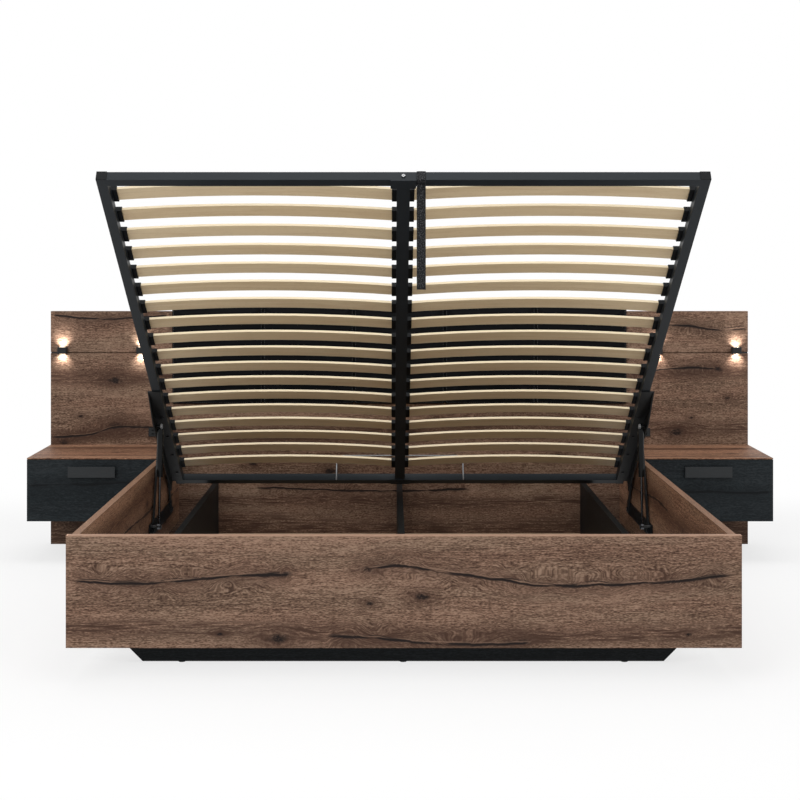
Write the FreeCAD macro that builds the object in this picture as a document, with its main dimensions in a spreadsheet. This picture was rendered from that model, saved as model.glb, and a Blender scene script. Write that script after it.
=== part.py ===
import FreeCAD, Part
import Sketcher
import math
import os
import re

# Ottoman bed for an 1800 x 2000 mattress, with a slatted frame that lifts at the foot on two
# links and a gas strut each side, a padded headboard and two hanging night tables with drawers.
# Millimetres. X runs across the bed, +Y towards the headboard, Z up from the floor, and the
# origin is on the floor under the middle of the bed. The bed is drawn open, as it stands raised.

doc = FreeCAD.newDocument("ottoman_bed")
size = doc.addObject("Spreadsheet::Sheet", "size")

driving_sizes = [
    ("panel_thick", "22", "boards of the bed box"),
    ("foot_overhang", "12", "foot panel past the outer face of a side panel"),
    ("panel_bottom", "98", "underside of foot and side panels above the floor"),
    ("panel_height", "313", "height of foot and side panels"),
    ("box_length", "2012", "foot panel to headboard, inside"),
    ("head_width", "2868", "headboard with both night tables' backs"),
    ("head_height", "958", "headboard"),
    ("head_thick", "25", "headboard boards"),
    ("groove_height", "788", "lamp groove above the floor"),
    ("groove_width", "6", "lamp groove"),
    ("groove_depth", "8", "lamp groove"),
    ("pad_count", "5", "upholstered pads across the bed"),
    ("pad_bottom", "580", "underside of the pads above the floor"),
    ("pad_over", "25", "pads above the headboard's top"),
    ("pad_past", "4.5", "row of pads past the outer face of a side panel"),
    ("pad_crown", "40", "pad thickness at its middle"),
    ("pad_edge", "17", "pad thickness at its border"),
    ("pad_gap", "3", "joint between two pads"),
    ("pad_power", "3", "how evenly a pad swells up its height, higher is flatter"),
    ("pad_border_end", "0.6", "border at a pad's top and bottom, as a share of pad_edge"),
    ("pad_crown_end", "0.2", "swell at a pad's top and bottom, as a share of that at its middle"),
    ("pad_steps", "6", "steps up a pad between its sections"),
    ("soft_gap", "0.3", "soft piece to the board behind it"),
    ("glide_high", "3", "floor glides"),
    ("glide_diameter", "21", "floor glides"),
    ("glide_inset", "114", "outer glides inside the plinth board's lower corners"),
    ("plinth_setback", "220", "plinth board behind the foot panel's face"),
    ("plinth_slope", "144", "plinth board's lower corner inside a side panel"),
    ("rail_inset", "140", "outer face of a long rail inside a side panel"),
    ("rail_top", "252", "top edge of the long rails and plinth board"),
    ("cleat_side", "20", "square battens under the floor panels"),
    ("floor_height", "40", "underside of the floor panels"),
    ("floor_thick", "5", "floor panels"),
    ("floor_gap", "1", "floor panel to its neighbours"),
    ("corner_leg", "45", "steel corner angle, leg length"),
    ("corner_thick", "3", "steel corner angle"),
    ("corner_high", "220", "steel corner angle"),
    ("table_gap", "3", "night table to the side panel"),
    ("table_depth", "414", "night table, front to headboard"),
    ("table_top", "409", "night table's top face above the floor"),
    ("table_bottom", "166", "night table's underside above the floor"),
    ("table_board", "16", "night table carcass boards"),
    ("top_thick", "22", "night table top"),
    ("top_lip", "4", "thin front edge of the top over the drawer front"),
    ("front_thick", "18", "drawer front"),
    ("front_gap", "2", "drawer front to carcass and lip"),
    ("drawer_wall", "12", "drawer box sides and back"),
    ("drawer_floor", "5", "drawer box bottom"),
    ("drawer_high", "130", "drawer box sides"),
    ("drawer_raise", "18", "drawer box above the carcass bottom"),
    ("drawer_back_gap", "30", "drawer box to headboard"),
    ("runner_thick", "12", "drawer runner"),
    ("runner_high", "35", "drawer runner"),
    ("runner_long", "340", "drawer runner"),
    ("runner_gap", "0.3", "drawer side to runner"),
    ("handle_long", "180", "drawer handle"),
    ("handle_high", "41", "drawer handle"),
    ("handle_reach", "22", "drawer handle, front face to drawer front"),
    ("handle_thick", "4", "drawer handle plate"),
    ("handle_drop", "25", "top of the handle below the drawer front's top"),
    ("lamp_wide", "39", "reading lamp"),
    ("lamp_high", "27", "reading lamp"),
    ("lamp_deep", "24", "reading lamp"),
    ("lamp_rise", "9.5", "middle of a lamp above its groove"),
    ("lamp_end", "50", "outer lamps from the headboard's ends"),
    ("lamp_side", "132", "inner lamps past the side panels"),
    ("lamp_round", "5", "rounded upright edges of a lamp"),
    ("lens_wide", "22", "lamp lens, along the groove"),
    ("lens_deep", "13", "lamp lens, out from the headboard"),
    ("lens_high", "1.5", "lamp lens"),
    ("stem_long", "26", "lamp stem along the groove"),
    ("stem_diameter", "5", "lamp stem"),
    ("socket_wide", "36", "charging socket"),
    ("socket_high", "35", "charging socket"),
    ("socket_thick", "6", "charging socket"),
    ("socket_side", "85", "middle of a charging socket past the side panel"),
    ("socket_middle", "461", "charging sockets above the floor"),
    ("port_wide", "13", "charging port"),
    ("port_high", "6", "charging port"),
    ("port_pitch", "15", "between the two ports"),
    ("port_deep", "4", "charging port"),
    ("frame_width", "1760", "lift frame, outside"),
    ("frame_room", "26", "lift frame to a side panel, for the links"),
    ("frame_long", "1990", "lift frame, outside"),
    ("bar_wide", "30", "lift frame tube, in the plane of the frame"),
    ("bar_high", "28", "lift frame tube, across the frame"),
    ("bar_wall", "2", "lift frame tube wall"),
    ("centre_wide", "38", "centre tube"),
    ("cap_long", "3", "plastic end cap outside the tube"),
    ("tab_wide", "74", "plate at each end of the centre tube"),
    ("tab_thick", "3", "plate at each end of the centre tube"),
    ("tab_past", "9", "plate past the head or foot tube"),
    ("bolt_diameter", "13", "bolt head on the foot tube"),
    ("bolt_high", "3", "bolt head on the foot tube"),
    ("slat_count", "18", "slats in each half"),
    ("slat_first", "113", "middle of the first slat from the head end"),
    ("slat_last", "115.6", "middle of the last slat from the foot end"),
    ("slat_wide", "53", "slat"),
    ("slat_thick", "8", "slat"),
    ("slat_crown", "19", "rise of a slat at its middle"),
    ("holder_wide", "57", "slat holder along the tube"),
    ("holder_show", "14", "slat holder past the inner edge of the tube"),
    ("holder_on_bar", "25", "slat holder on a side tube"),
    ("holder_on_centre", "17", "slat holder on the centre tube"),
    ("holder_wall", "1.8", "slat holder walls"),
    ("slot_room", "0.2", "slat to the walls of its holder"),
    ("stop_half", "249", "legs of the mattress stop from the centre line"),
    ("stop_high", "80", "mattress stop above the tube"),
    ("stop_wire", "6", "mattress stop wire"),
    ("wire_sides", "10", "flats round the mattress stop wire"),
    ("stop_bend", "30", "mattress stop, bend radius of the wire's middle"),
    ("strap_wide", "26", "pull strap webbing"),
    ("strap_thick", "3", "pull strap webbing"),
    ("strap_long", "306", "pull strap below the foot tube"),
    ("strap_side", "51", "pull strap right of the centre line"),
    ("lift_tilt", "34.1", "raised frame above level, degrees"),
    ("head_clear", "11", "lowered frame to headboard"),
    ("frame_rest", "4", "lowered frame above the long rails"),
    ("lift_forward", "256.5", "head end of the raised frame ahead of its lowered place"),
    ("lift_rise", "33.7", "head end of the raised frame above its lowered place"),
    ("rest_block", "28", "foot rest under a lowered side tube, height"),
    ("rest_long", "60", "foot rest along the side panel"),
    ("rest_gap", "0.5", "foot rest to the lowered side tube"),
    ("angle_thick", "4", "lift angle"),
    ("angle_leg", "45", "lift angle, depth of the upright leg"),
    ("angle_tail", "30", "lift angle, rear end from the frame's head end"),
    ("angle_full", "580", "lift angle, front end of the full depth"),
    ("angle_nose", "748", "lift angle, front tip from the frame's head end"),
    ("plate_thick", "4", "base plate on the side panel"),
    ("plate_front", "783", "base plate, front end ahead of the lowered frame's head end"),
    ("plate_rear", "213", "base plate, rear end ahead of the lowered frame's head end"),
    ("plate_bottom", "168", "base plate, lower edge above the floor"),
    ("plate_high", "50", "base plate"),
    ("link_thick", "5", "links"),
    ("link_wide", "24", "links"),
    ("link_gap", "1", "link to base plate and to lift angle"),
    ("pin_diameter", "10", "pivot pins"),
    ("pin_room", "0.08", "pin to the wall of its hole"),
    ("head_diameter", "18", "heads of pivot pins"),
    ("pin_head", "3", "thickness of pivot pin heads"),
    ("pivot_height", "190", "link pivots on the base plate above the floor"),
    ("rear_base", "259.6", "rear link's base pivot ahead of the lowered frame's head end"),
    ("front_base", "729", "front link's base pivot ahead of the lowered frame's head end"),
    ("strut_base", "748", "strut's base pivot ahead of the lowered frame's head end"),
    ("strut_height", "208", "strut's base pivot above the floor"),
    ("link_drop", "22", "link pivots below the frame tube"),
    ("rear_arm", "100", "rear link's pivot from the frame's head end"),
    ("front_arm", "400", "front link's pivot from the frame's head end"),
    ("strut_arm", "530", "strut's pivot from the frame's head end"),
    ("strut_drop", "26", "strut's pivot below the frame tube"),
    ("strut_inset", "6", "middle of the strut inside the outer face of the side tube"),
    ("tube_diameter", "22", "strut cylinder"),
    ("tube_long", "172", "strut cylinder"),
    ("rod_diameter", "9", "strut rod"),
    ("rod_room", "0.3", "rod to the bore of the cylinder"),
    ("rod_overlap", "20", "rod inside the cylinder when raised"),
    ("eye_diameter", "20", "strut eyes"),
    ("eye_wide", "10", "strut eyes"),
    ("open_gap", "0.3", "free pivot stud to the lift angle"),
    ("screw_diameter", "11", "screw heads"),
    ("screw_high", "3", "screw heads"),
    ("screw_pitch", "150", "screw to screw along a lift angle"),
    ("screw_count", "4", "screws in each lift angle"),
    ("foot_width", "=frame_width + 2 * (frame_room + panel_thick + foot_overhang)",
     "foot panel, end to end"),
    ("rail_outer", "=frame_width / 2 + frame_room - rail_inset",
     "outer face of a long rail from the centre line"),
    ("plinth_half", "=frame_width / 2 + frame_room - plinth_slope",
     "plinth board's lower corner from the centre line"),
    ("glide_spacing", "=frame_width / 2 + frame_room - plinth_slope - glide_inset",
     "outer glides from the bed's centre line"),
]
for row, (alias, value, note) in enumerate(driving_sizes, start=1):
    size.set(f"A{row}", note)
    size.set(f"B{row}", value)
    size.setAlias(f"B{row}", alias)
doc.recompute()
aliases = {alias for alias, value, note in driving_sizes}


def formula(text):
    """Sheet names in a formula become references to the sheet's cells."""
    return re.sub(r"[a-z_]+", lambda m: "size." + m[0] if m[0] in aliases else m[0], str(text))


answer = doc.addObject("App::FeaturePython", "answer")
answer.addProperty("App::PropertyFloat", "Value")


def value_of(text):
    """The number that a formula gives, for shapes that are worked out in this script."""
    answer.setExpression("Value", formula(text))
    answer.recompute()
    return answer.Value


def bind(item, **formulas):
    """Ties properties of an object to formulas in sheet names."""
    for name, text in formulas.items():
        item.setExpression(name, formula(text))
    return item


def place(item, x="0", y="0", z="0"):
    """Ties an object's place to formulas in sheet names."""
    for axis, text in zip("xyz", (x, y, z)):
        item.setExpression("Placement.Base." + axis, formula(text))
    return item


def turn_about_x(item, angle):
    """Ties an object's turn about X, in degrees, to a formula."""
    item.Placement = FreeCAD.Placement(item.Placement.Base, FreeCAD.Rotation(FreeCAD.Vector(1, 0, 0), 1))
    item.setExpression("Placement.Rotation.Angle", formula(angle))
    return item


def box(name, x, y, z):
    """A board or bar. Each of x, y and z is (low side, length)."""
    item = bind(doc.addObject("Part::Box", name), Length=x[1], Width=y[1], Height=z[1])
    return place(item, x[0], y[0], z[0])


def pin(name, diameter, x, y, z):
    """A round bar along X. x is (low side, length), y and z are its middle."""
    item = bind(doc.addObject("Part::Cylinder", name), Radius=f"({diameter}) / 2", Height=x[1])
    item.Placement = FreeCAD.Placement(FreeCAD.Vector(), FreeCAD.Rotation(FreeCAD.Vector(0, 1, 0), 90))
    return place(item, x[0], y, z)


def hex_head(name, width, x, y, z):
    """A hexagon head along X, width across its corners. x is (low side, length)."""
    item = bind(doc.addObject("Part::Prism", name), Circumradius=f"({width}) / 2", Height=x[1])
    item.Placement = FreeCAD.Placement(FreeCAD.Vector(), FreeCAD.Rotation(FreeCAD.Vector(0, 1, 0), 90))
    return place(item, x[0], y, z)


def many_sided(name, sides, width, x, y, z):
    """An upright prism, width across its corners. z is (low side, length)."""
    item = bind(doc.addObject("Part::Prism", name), Circumradius=f"({width}) / 2", Height=z[1])
    item.Polygon = sides
    return place(item, x, y, z[0])


def fuse(name, pieces):
    item = doc.addObject("Part::MultiFuse", name)
    item.Shapes = pieces
    item.Refine = True
    return item


def cut(name, base, tool):
    item = doc.addObject("Part::Cut", name)
    item.Base = base
    item.Tool = tool
    return item


def group(name, pieces):
    item = doc.addObject("Part::Compound", name)
    item.Links = pieces
    return item


def profile_body(name, plane, corners, depth):
    """A padded outline. corners are (formula, formula) pairs, none below zero."""
    body = doc.addObject("PartDesign::Body", name)
    origin_plane = next(f for f in body.Origin.OriginFeatures if f.Role == plane)
    sketch = body.newObject("Sketcher::SketchObject", name + "_outline")
    sketch.AttachmentSupport = (origin_plane, "")
    sketch.MapMode = "FlatFace"
    points = [FreeCAD.Vector(value_of(a), value_of(b), 0) for a, b in corners]
    for start, end in zip(points, points[1:] + points[:1]):
        sketch.addGeometry(Part.LineSegment(start, end), False)
    for side in range(len(points)):
        following = (side + 1) % len(points)
        sketch.addConstraint(Sketcher.Constraint("Coincident", side, 2, following, 1))
    for side, (across, up) in enumerate(corners):
        for kind, text, value in (("DistanceX", across, points[side].x), ("DistanceY", up, points[side].y)):
            spot = sketch.addConstraint(Sketcher.Constraint(kind, -1, 1, side, 1, value))
            sketch.setExpression(f"Constraints[{spot}]", formula(text))
    pad = body.newObject("PartDesign::Pad", name + "_pad")
    pad.Profile = sketch
    bind(pad, Length=depth)
    pad.Reversed = plane == "XZ_Plane"
    return body


nodes = []


def keep(item, label):
    """Marks an object as a finished sub-part."""
    item.Label = label
    nodes.append(item)
    return item


foot_face = "(-(panel_thick + box_length + head_thick) / 2)"
foot_inside = f"({foot_face} + panel_thick)"
head_face = f"({foot_inside} + box_length)"
side_outside = "(foot_width / 2 - foot_overhang)"
side_inside = f"({side_outside} - panel_thick)"
panel_top = "(panel_bottom + panel_height)"
sides = (("left", -1), ("right", 1))


def across(side, low, high):
    """The (low side, length) of a piece between two distances from the centre line."""
    return (f"{low}" if side > 0 else f"-({high})", f"({high}) - ({low})")


# Bed box: foot panel, two side panels, headboard boards and the parts that carry the floor.
keep(box("foot_panel", ("-foot_width / 2", "foot_width"), (foot_face, "panel_thick"),
         ("panel_bottom", "panel_height")), "foot_panel")
for word, side in sides:
    keep(box("side_panel_" + word, across(side, side_inside, side_outside), (foot_inside, "box_length"),
             ("panel_bottom", "panel_height")), "side_panel_" + word)

keep(box("headboard_centre", (f"-{side_outside}", f"2 * {side_outside}"), (head_face, "head_thick"),
         ("0", "head_height")), "headboard_centre")
for word, side in sides:
    name = "headboard_" + word
    blank = box(name + "_blank", across(side, side_outside, "head_width / 2"), (head_face, "head_thick"),
                ("0", "head_height"))
    groove = box(name + "_groove", across(side, side_outside, "head_width / 2"), (head_face, "groove_depth"),
                 ("groove_height - groove_width / 2", "groove_width"))
    keep(cut(name, blank, groove), name)

plinth_front = f"({foot_face} + plinth_setback)"
plinth_back = f"({plinth_front} + panel_thick)"
plinth_rise = f"({side_inside} - plinth_half)"
plinth = profile_body("plinth_front", "XZ_Plane", [
    (plinth_rise, "0"),
    (f"{plinth_rise} + 2 * plinth_half", "0"),
    (f"2 * {side_inside}", plinth_rise),
    (f"2 * {side_inside}", "rail_top - glide_high"),
    ("0", "rail_top - glide_high"),
    ("0", plinth_rise)], "panel_thick")
keep(place(plinth, f"-{side_inside}", plinth_front, "glide_high"), "plinth_front")

rail_inner = "(rail_outer - panel_thick)"
rail_run = (plinth_back, f"{head_face} - {plinth_back}")
rail_rise = ("glide_high", "rail_top - glide_high")
for word, side in sides:
    keep(box("rail_" + word, across(side, rail_inner, "rail_outer"), rail_run, rail_rise), "rail_" + word)
keep(box("rail_centre", ("-panel_thick / 2", "panel_thick"), rail_run, rail_rise), "rail_centre")

glide_rear = f"({head_face} - plinth_setback)"
glide_places = [(f"{step} * glide_spacing", f"{plinth_front} + panel_thick / 2") for step in (-1, 0, 1)]
glide_places += [(f"{step} * (rail_outer - panel_thick / 2)", glide_rear) for step in (-1, 0, 1)]
glides = [many_sided(f"glide_{count}", 12, "glide_diameter", x, y, ("0", "glide_high"))
          for count, (x, y) in enumerate(glide_places)]
keep(group("glides", glides), "glides")

cleats = []
floors = []
for word, side in sides:
    for spot, low in (("inner", "panel_thick / 2"), ("outer", f"{rail_inner} - cleat_side")):
        cleats.append(box(f"cleat_{word}_{spot}", across(side, low, f"{low} + cleat_side"), rail_run,
                          ("floor_height - cleat_side", "cleat_side")))
    floors.append(box("floor_" + word,
                      across(side, "panel_thick / 2 + floor_gap", f"{rail_inner} - floor_gap"),
                      (f"{plinth_back} + floor_gap", f"{rail_run[1]} - 2 * floor_gap"),
                      ("floor_height", "floor_thick")))
keep(group("floor_cleats", cleats), "floor_cleats")
keep(group("floor_panels", floors), "floor_panels")

corners = []
for word, side in sides:
    name = "corner_" + word
    spot = ("panel_bottom + (panel_height - corner_high) / 2", "corner_high")
    on_side = box(name + "_side", across(side, f"{side_inside} - corner_thick", side_inside),
                  (foot_inside, "corner_leg"), spot)
    on_foot = box(name + "_foot", across(side, f"{side_inside} - corner_leg", side_inside),
                  (foot_inside, "corner_thick"), spot)
    corners.append(fuse(name, [on_side, on_foot]))
keep(group("corner_angles", corners), "corner_angles")

# Headboard pads: upholstered boards whose fronts swell, lofted through sections up the pad.
pad_width = value_of(f"2 * ({side_outside} + pad_past) / pad_count")
pad_seat = value_of(f"{head_face} - soft_gap")
pad_low = value_of("pad_bottom")
pad_rise = value_of("head_height + pad_over - pad_bottom")
pad_steps = int(value_of("pad_steps"))
pad_count = int(value_of("pad_count"))


def pad_section(middle, level):
    """Outline of a pad at a level from 0 at its underside to 1 at its top."""
    swell = 1 - abs(2 * level - 1) ** value_of("pad_power")
    half = (pad_width - value_of("pad_gap")) / 2
    border = value_of("pad_edge") * (value_of("pad_border_end") * (1 - swell) + swell)
    crown_share = value_of("pad_crown_end") * (1 - swell) + swell
    crown = border + value_of("pad_crown - pad_edge") * crown_share
    height = pad_low + pad_rise * level
    back_left, back_right, front_right, front_left = (
        FreeCAD.Vector(middle + x, pad_seat - y, height)
        for x, y in ((-half, 0), (half, 0), (half, border), (-half, border)))
    front = Part.Arc(front_right, FreeCAD.Vector(middle, pad_seat - crown, height), front_left)
    return Part.Wire([Part.makeLine(back_left, back_right), Part.makeLine(back_right, front_right),
                      front.toShape(), Part.makeLine(front_left, back_left)])


for count in range(pad_count):
    middle = (count - (pad_count - 1) / 2) * pad_width
    sections = [pad_section(middle, step / pad_steps) for step in range(pad_steps + 1)]
    pad = doc.addObject("Part::Feature", f"headboard_pad_{count + 1}")
    pad.Shape = Part.makeLoft(sections, True, True)
    keep(pad, f"headboard_pad_{count + 1}")

# Night tables: top with a thin front lip, three-board carcass hung on the headboard, and a
# drawer on side runners behind a full front with a bent plate handle.
table_front = f"({head_face} - table_depth)"
carcass_front = f"({table_front} + front_thick + front_gap)"
carcass_deep = f"({head_face} - {carcass_front})"
table_inner = f"({side_outside} + table_gap)"
table_outer = "(head_width / 2)"
carcass_high = "(table_top - top_thick - table_bottom)"
runner_middle = "(table_bottom + table_board + drawer_raise + drawer_high / 2)"
runners = []
for word, side in sides:
    top = profile_body("table_top_" + word, "YZ_Plane", [
        ("0", "top_thick - top_lip"),
        (f"{carcass_front} - {table_front}", "top_thick - top_lip"),
        (f"{carcass_front} - {table_front}", "0"),
        ("table_depth", "0"),
        ("table_depth", "top_thick"),
        ("0", "top_thick")], f"{table_outer} - {table_inner}")
    keep(place(top, across(side, table_inner, table_outer)[0], table_front, "table_top - top_thick"),
         "table_top_" + word)

    boards = [
        box("table_inner_side_" + word, across(side, table_inner, f"{table_inner} + table_board"),
            (carcass_front, carcass_deep), ("table_bottom", carcass_high)),
        box("table_outer_side_" + word, across(side, f"{table_outer} - table_board", table_outer),
            (carcass_front, carcass_deep), ("table_bottom", carcass_high)),
        box("table_bottom_" + word,
            across(side, f"{table_inner} + table_board", f"{table_outer} - table_board"),
            (carcass_front, carcass_deep), ("table_bottom", "table_board"))]
    keep(group("table_carcass_" + word, boards), "table_carcass_" + word)

    keep(box("drawer_front_" + word, across(side, table_inner, table_outer), (table_front, "front_thick"),
             ("table_bottom", "table_top - top_lip - front_gap - table_bottom")), "drawer_front_" + word)

    drawer_inner = f"({table_inner} + table_board + runner_thick + runner_gap)"
    drawer_outer = f"({table_outer} - table_board - runner_thick - runner_gap)"
    drawer_back = f"({head_face} - drawer_back_gap)"
    drawer_start = f"({table_front} + front_thick)"
    drawer_low = "(table_bottom + table_board + drawer_raise)"
    shell = box("drawer_shell_" + word, across(side, drawer_inner, drawer_outer),
                (drawer_start, f"{drawer_back} - {drawer_start}"), (drawer_low, "drawer_high"))
    hollow = box("drawer_hollow_" + word,
                 across(side, f"{drawer_inner} + drawer_wall", f"{drawer_outer} - drawer_wall"),
                 (drawer_start, f"{drawer_back} - {drawer_start} - drawer_wall"),
                 (f"{drawer_low} + drawer_floor", "drawer_high"))
    keep(cut("drawer_box_" + word, shell, hollow), "drawer_box_" + word)

    for spot, low in (("inner", f"{table_inner} + table_board"),
                      ("outer", f"{table_outer} - table_board - runner_thick")):
        runners.append(box(f"runner_{word}_{spot}", across(side, low, f"{low} + runner_thick"),
                           (f"{carcass_front} + front_gap", "runner_long"),
                           (f"{runner_middle} - runner_high / 2", "runner_high")))

    handle = profile_body("handle_" + word, "YZ_Plane", [
        ("0", "0"),
        ("handle_reach", "0"),
        ("handle_reach", "handle_thick"),
        ("handle_thick", "handle_thick"),
        ("handle_thick", "handle_high"),
        ("0", "handle_high")], "handle_long")
    keep(place(handle, f"{side} * ({table_inner} + {table_outer}) / 2 - handle_long / 2",
               f"{table_front} - handle_reach",
               "table_top - top_lip - front_gap - handle_drop - handle_high"), "handle_" + word)
keep(group("drawer_runners", runners), "drawer_runners")

# Reading lamps in the groove, shining up and down, and charging sockets over the night tables.
lamps = []
lenses = []
lamp_low = "(groove_height + lamp_rise - lamp_high / 2)"
for word, side in sides:
    for spot, offset in (("outer", "(head_width / 2 - lamp_end)"),
                         ("inner", f"({side_outside} + lamp_side)")):
        name = f"lamp_{word}_{spot}"
        middle = f"{side} * {offset}"
        lamp_block = box(name + "_block", (f"{middle} - lamp_wide / 2", "lamp_wide"),
                         (f"{head_face} - lamp_deep", "lamp_deep"), (lamp_low, "lamp_high"))
        clip = box(name + "_clip", (f"{middle} - lamp_wide / 4", "lamp_wide / 2"),
                   (head_face, "groove_depth"),
                   ("groove_height - groove_width / 2", "groove_width"))
        stem_low = f"{middle} + lamp_wide / 2" if side > 0 else f"{middle} - lamp_wide / 2 - stem_long"
        stem = pin(name + "_stem", "stem_diameter", (stem_low, "stem_long"),
                   f"{head_face} - stem_diameter / 2", "groove_height")
        doc.recompute()
        rounded = doc.addObject("Part::Fillet", name + "_rounded")
        rounded.Base = lamp_block
        radius = value_of("min(lamp_round; lamp_deep / 3)")
        front = value_of(f"{head_face} - lamp_deep")
        block_edges = enumerate(lamp_block.Shape.Edges, start=1)
        rounded.Edges = [(index, radius, radius) for index, edge in block_edges
                         if edge.BoundBox.YMax < front + 1 and edge.BoundBox.ZLength > 1]
        lamps.append(fuse(name, [rounded, clip, stem] if spot == "outer" else [rounded, clip]))
        for place_word, height in (("up", f"{lamp_low} + lamp_high"), ("down", f"{lamp_low} - lens_high")):
            lenses.append(box(f"{name}_lens_{place_word}", (f"{middle} - lens_wide / 2", "lens_wide"),
                              (f"{head_face} - (lamp_deep + lens_deep) / 2", "lens_deep"),
                              (height, "lens_high")))
keep(group("reading_lamps", lamps), "reading_lamps")
keep(group("lamp_lenses", lenses), "lamp_lenses")

sockets = []
for word, side in sides:
    name = "socket_" + word
    middle = f"{side} * ({side_outside} + socket_side)"
    plate = box(name + "_plate", (f"{middle} - socket_wide / 2", "socket_wide"),
                (f"{head_face} - socket_thick", "socket_thick"),
                ("socket_middle - socket_high / 2", "socket_high"))
    ports = [box(f"{name}_port_{count}", (f"{middle} - port_wide / 2", "port_wide"),
                 (f"{head_face} - socket_thick", "port_deep"),
                 (f"socket_middle + {count} * port_pitch / 2 - port_high / 2", "port_high"))
             for count in (-1, 1)]
    sockets.append(cut(name, plate, fuse(name + "_ports", ports)))
keep(group("charging_sockets", sockets), "charging_sockets")

# Lift frame, drawn level from its head end: its own Y runs from -frame_long at the foot to 0 at
# the head and its own Z starts at the underside of the tubes. Each group is then set raised.
lowered_head = f"({head_face} - head_clear)"
raised_head = f"({lowered_head} - lift_forward)"
lowered_under = "(rail_top + frame_rest)"
raised_under = f"({lowered_under} + lift_rise)"
bar_outer = "(frame_width / 2)"
bar_inner = "(frame_width / 2 - bar_wide)"


def raised(item):
    """Turns a level piece of the lift frame up and sets it at the raised frame's head end."""
    return place(turn_about_x(item, "-lift_tilt"), "0", raised_head, raised_under)


def raised_spot(from_head, above):
    """Y and Z formulas of a point of the raised frame."""
    return (f"({raised_head} - ({from_head}) * cos(lift_tilt) + ({above}) * sin(lift_tilt))",
            f"({raised_under} + ({from_head}) * sin(lift_tilt) + ({above}) * cos(lift_tilt))")


def tube(name, x, y, along):
    """A rectangular tube of the lift frame, open at the two ends along X or Y."""
    outside = box(name + "_outside", x, y, ("0", "bar_high"))
    inset = {"x": ("0", "bar_wall"), "y": ("bar_wall", "0")}[along]
    inside = box(name + "_inside", (f"{x[0]} + {inset[0]}", f"{x[1]} - 2 * {inset[0]}"),
                 (f"{y[0]} + {inset[1]}", f"{y[1]} - 2 * {inset[1]}"),
                 ("bar_wall", "bar_high - 2 * bar_wall"))
    return cut(name + "_tube", outside, inside)


for word, side in sides:
    bar = tube("side_bar_" + word, across(side, bar_inner, bar_outer), ("-frame_long", "frame_long"), "y")
    keep(raised(group("side_bar_" + word, [bar])), "side_bar_" + word)
cross_run = (f"-{bar_inner}", f"2 * {bar_inner}")
for word, low in (("head_bar", "-bar_wide"), ("foot_bar", "-frame_long")):
    keep(raised(group(word, [tube(word, cross_run, (low, "bar_wide"), "x")])), word)
centre_bar = tube("centre_bar", ("-centre_wide / 2", "centre_wide"),
                  ("-frame_long + bar_wide", "frame_long - 2 * bar_wide"), "y")
keep(raised(group("centre_bar", [centre_bar])), "centre_bar")

caps = []
for word, side in sides:
    for spot, low in (("foot", "-frame_long - cap_long"), ("head", "0")):
        caps.append(box(f"cap_{word}_{spot}", across(side, bar_inner, bar_outer), (low, "cap_long"),
                        ("0", "bar_high")))
keep(raised(group("bar_end_caps", caps)), "bar_end_caps")

tabs = [box("centre_tab_" + word, ("-tab_wide / 2", "tab_wide"), (low, "bar_wide + tab_past"),
            ("-tab_thick", "tab_thick"))
        for word, low in (("head", "-bar_wide - tab_past"), ("foot", "-frame_long"))]
keep(raised(group("centre_tabs", tabs)), "centre_tabs")
centre_bolt = many_sided("centre_bolt_head", 6, "bolt_diameter", "0", "-frame_long",
                         ("bar_high / 2", "bolt_high"))
turn_about_x(centre_bolt, "90")
keep(raised(group("centre_bolt", [centre_bolt])), "centre_bolt")

# Sprung slats: each an even arc of laminated wood, its ends in plastic holders on the tubes.
slat_pitch = "((frame_long - slat_first - slat_last) / (slat_count - 1))"
slat_low = "(centre_wide / 2 - holder_on_centre + holder_wall + slot_room)"
slat_high = f"({bar_inner} + holder_on_bar - holder_wall - slot_room)"
slat_reach = f"({slat_high} - {slat_low})"
slat_radius = f"(({slat_reach} ^ 2 / 4 + slat_crown ^ 2) / (2 * slat_crown))"
slat_seat = "(bar_high + holder_wall + slot_room)"
end_slope = f"(holder_show + holder_on_bar) * {slat_reach} / 2 / {slat_radius}"
slot_high = f"(slat_thick + {end_slope} + 2 * slot_room)"


def slat_row(word, side):
    """All the slats of one half, side by side along the frame."""
    outer = value_of(slat_radius) + value_of("slat_thick")
    inner = value_of(slat_radius)
    middle = side * (value_of(slat_low) + value_of(slat_high)) / 2
    seat = value_of(slat_seat)
    inner_angle = math.asin(value_of(slat_reach) / 2 / inner)
    outer_angle = math.asin(value_of(slat_reach) / 2 / outer)
    centre = FreeCAD.Vector(middle, 0, seat - inner * math.cos(inner_angle))

    def on_arc(radius, angle):
        return centre + FreeCAD.Vector(radius * math.sin(angle), 0, radius * math.cos(angle))

    inner_arc = Part.Arc(*(on_arc(inner, turn * inner_angle) for turn in (-1, 0, 1))).toShape()
    outer_arc = Part.Arc(*(on_arc(outer, turn * outer_angle) for turn in (1, 0, -1))).toShape()
    right_end = Part.makeLine(on_arc(inner, inner_angle), on_arc(outer, outer_angle))
    left_end = Part.makeLine(on_arc(outer, -outer_angle), on_arc(inner, -inner_angle))
    section = Part.Face(Part.Wire([inner_arc, right_end, outer_arc, left_end]))
    slat = section.extrude(FreeCAD.Vector(0, value_of("slat_wide"), 0))
    row = []
    for count in range(int(value_of("slat_count"))):
        start = -value_of(f"slat_first + {count} * {slat_pitch} + slat_wide / 2")
        row.append(slat.translated(FreeCAD.Vector(0, start, 0)))
    item = doc.addObject("Part::Feature", "slats_" + word)
    item.Shape = Part.makeCompound(row)
    return item


for word, side in sides:
    keep(raised(slat_row(word, side)), "slats_" + word)

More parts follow.
